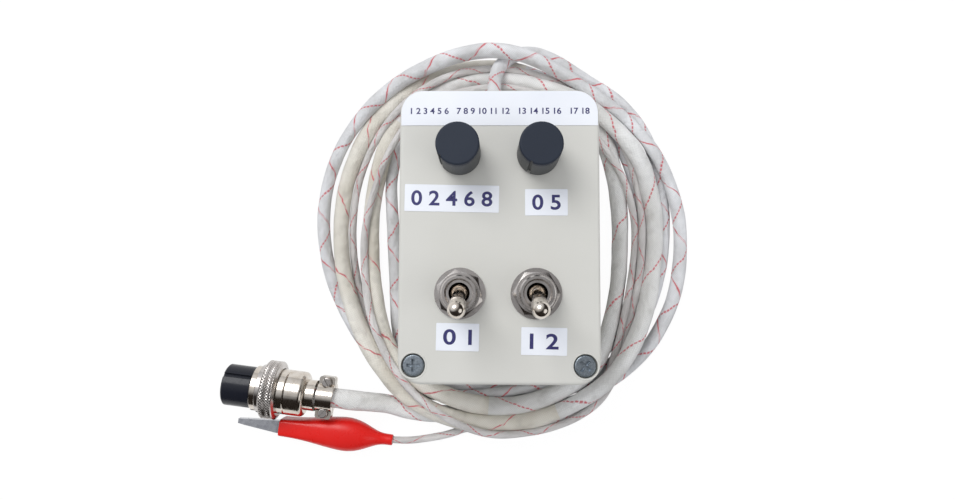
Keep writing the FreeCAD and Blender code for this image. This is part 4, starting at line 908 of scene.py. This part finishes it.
# %% Mix the ink
ink, tree = empty_material("label_ink_navy")
place = add(tree, "TexCoord").outputs["Object"]
specks = add(tree, "TexNoise", None, {"Vector": place, "Scale": 1 / (0.3 * MM), "Detail": 2})
paler = add(tree, "MapRange", None, {
    "Value": specks.outputs["Fac"], "From Min": 0.4, "From Max": 0.8})
mixed = add(tree, "Mix", {"data_type": "RGBA"}, {
    0: paler.outputs["Result"], 6: colour("#2c2a66"), 7: colour("#45447c")})
shader = add(tree, "BsdfPrincipled", None, {"Base Color": mixed.outputs[2], "Roughness": 0.45})
add(tree, "OutputMaterial", None, {"Surface": shader.outputs["BSDF"]})
print("ink:", ink.name)

# %% [markdown]
# ## Printed numbers
# The printed places hold plain numbers. A text object is made a mesh first, and only then
# stretched to the size of its print and moved to its strip, a hair above the tape.

# %% Print the strips
INK_ABOVE_TAPE_MM = 0.03
INK_SPREAD = 0.02


def printed(name, words, middle_mm, height_mm, width_mm, turned_deg, top_mm):
    text = bpy.data.curves.new(name, "FONT")
    text.body = words
    text.size = 1.0
    text.offset = INK_SPREAD
    holder = bpy.data.objects.new(name, text)
    mesh = bpy.data.meshes.new_from_object(holder)
    bpy.data.objects.remove(holder)
    bpy.data.curves.remove(text)
    xs = [v.co.x for v in mesh.vertices]
    ys = [v.co.y for v in mesh.vertices]
    wide, tall = max(xs) - min(xs), max(ys) - min(ys)
    centre = Vector(((max(xs) + min(xs)) / 2, (max(ys) + min(ys)) / 2, 0))
    shrink = Matrix.Diagonal((width_mm / wide * MM, height_mm / tall * MM, 1, 1))
    turned = Matrix.Rotation(math.radians(turned_deg), 4, "Z")
    put = Matrix.Translation((middle_mm[0] * MM, middle_mm[1] * MM,
                              (top_mm + INK_ABOVE_TAPE_MM) * MM))
    mesh.transform(put @ turned @ shrink @ Matrix.Translation(-centre))
    mesh.materials.clear()
    mesh.materials.append(ink)
    made = bpy.data.objects.new(name, mesh)
    bpy.context.scene.collection.objects.link(made)
    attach(made, "case")


strip_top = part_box("control_strips")[1][2] / MM
title_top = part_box("title_strip")[1][2] / MM
printed("numbers_title", "1 2 3 4 5 6   7 8 9 10 11 12   13 14 15 16   17 18", (0.2, 42.6),
        2.2, 61, 0, title_top)
printed("numbers_throttle", "0 2 4 6 8", (-16.1, 12.5), 5.2, 27.5, -1, strip_top)
printed("numbers_brake", "0 5", (15.9, 11.2), 5.2, 9.6, 0, strip_top)
printed("numbers_power", "0 1", (-13.9, -34.2), 5.2, 9.6, -1, strip_top)
printed("numbers_reverse", "1 2", (15.0, -35.5), 5.2, 9.6, -1, strip_top)
print("strip tops in mm:", round(strip_top, 2), round(title_top, 2))
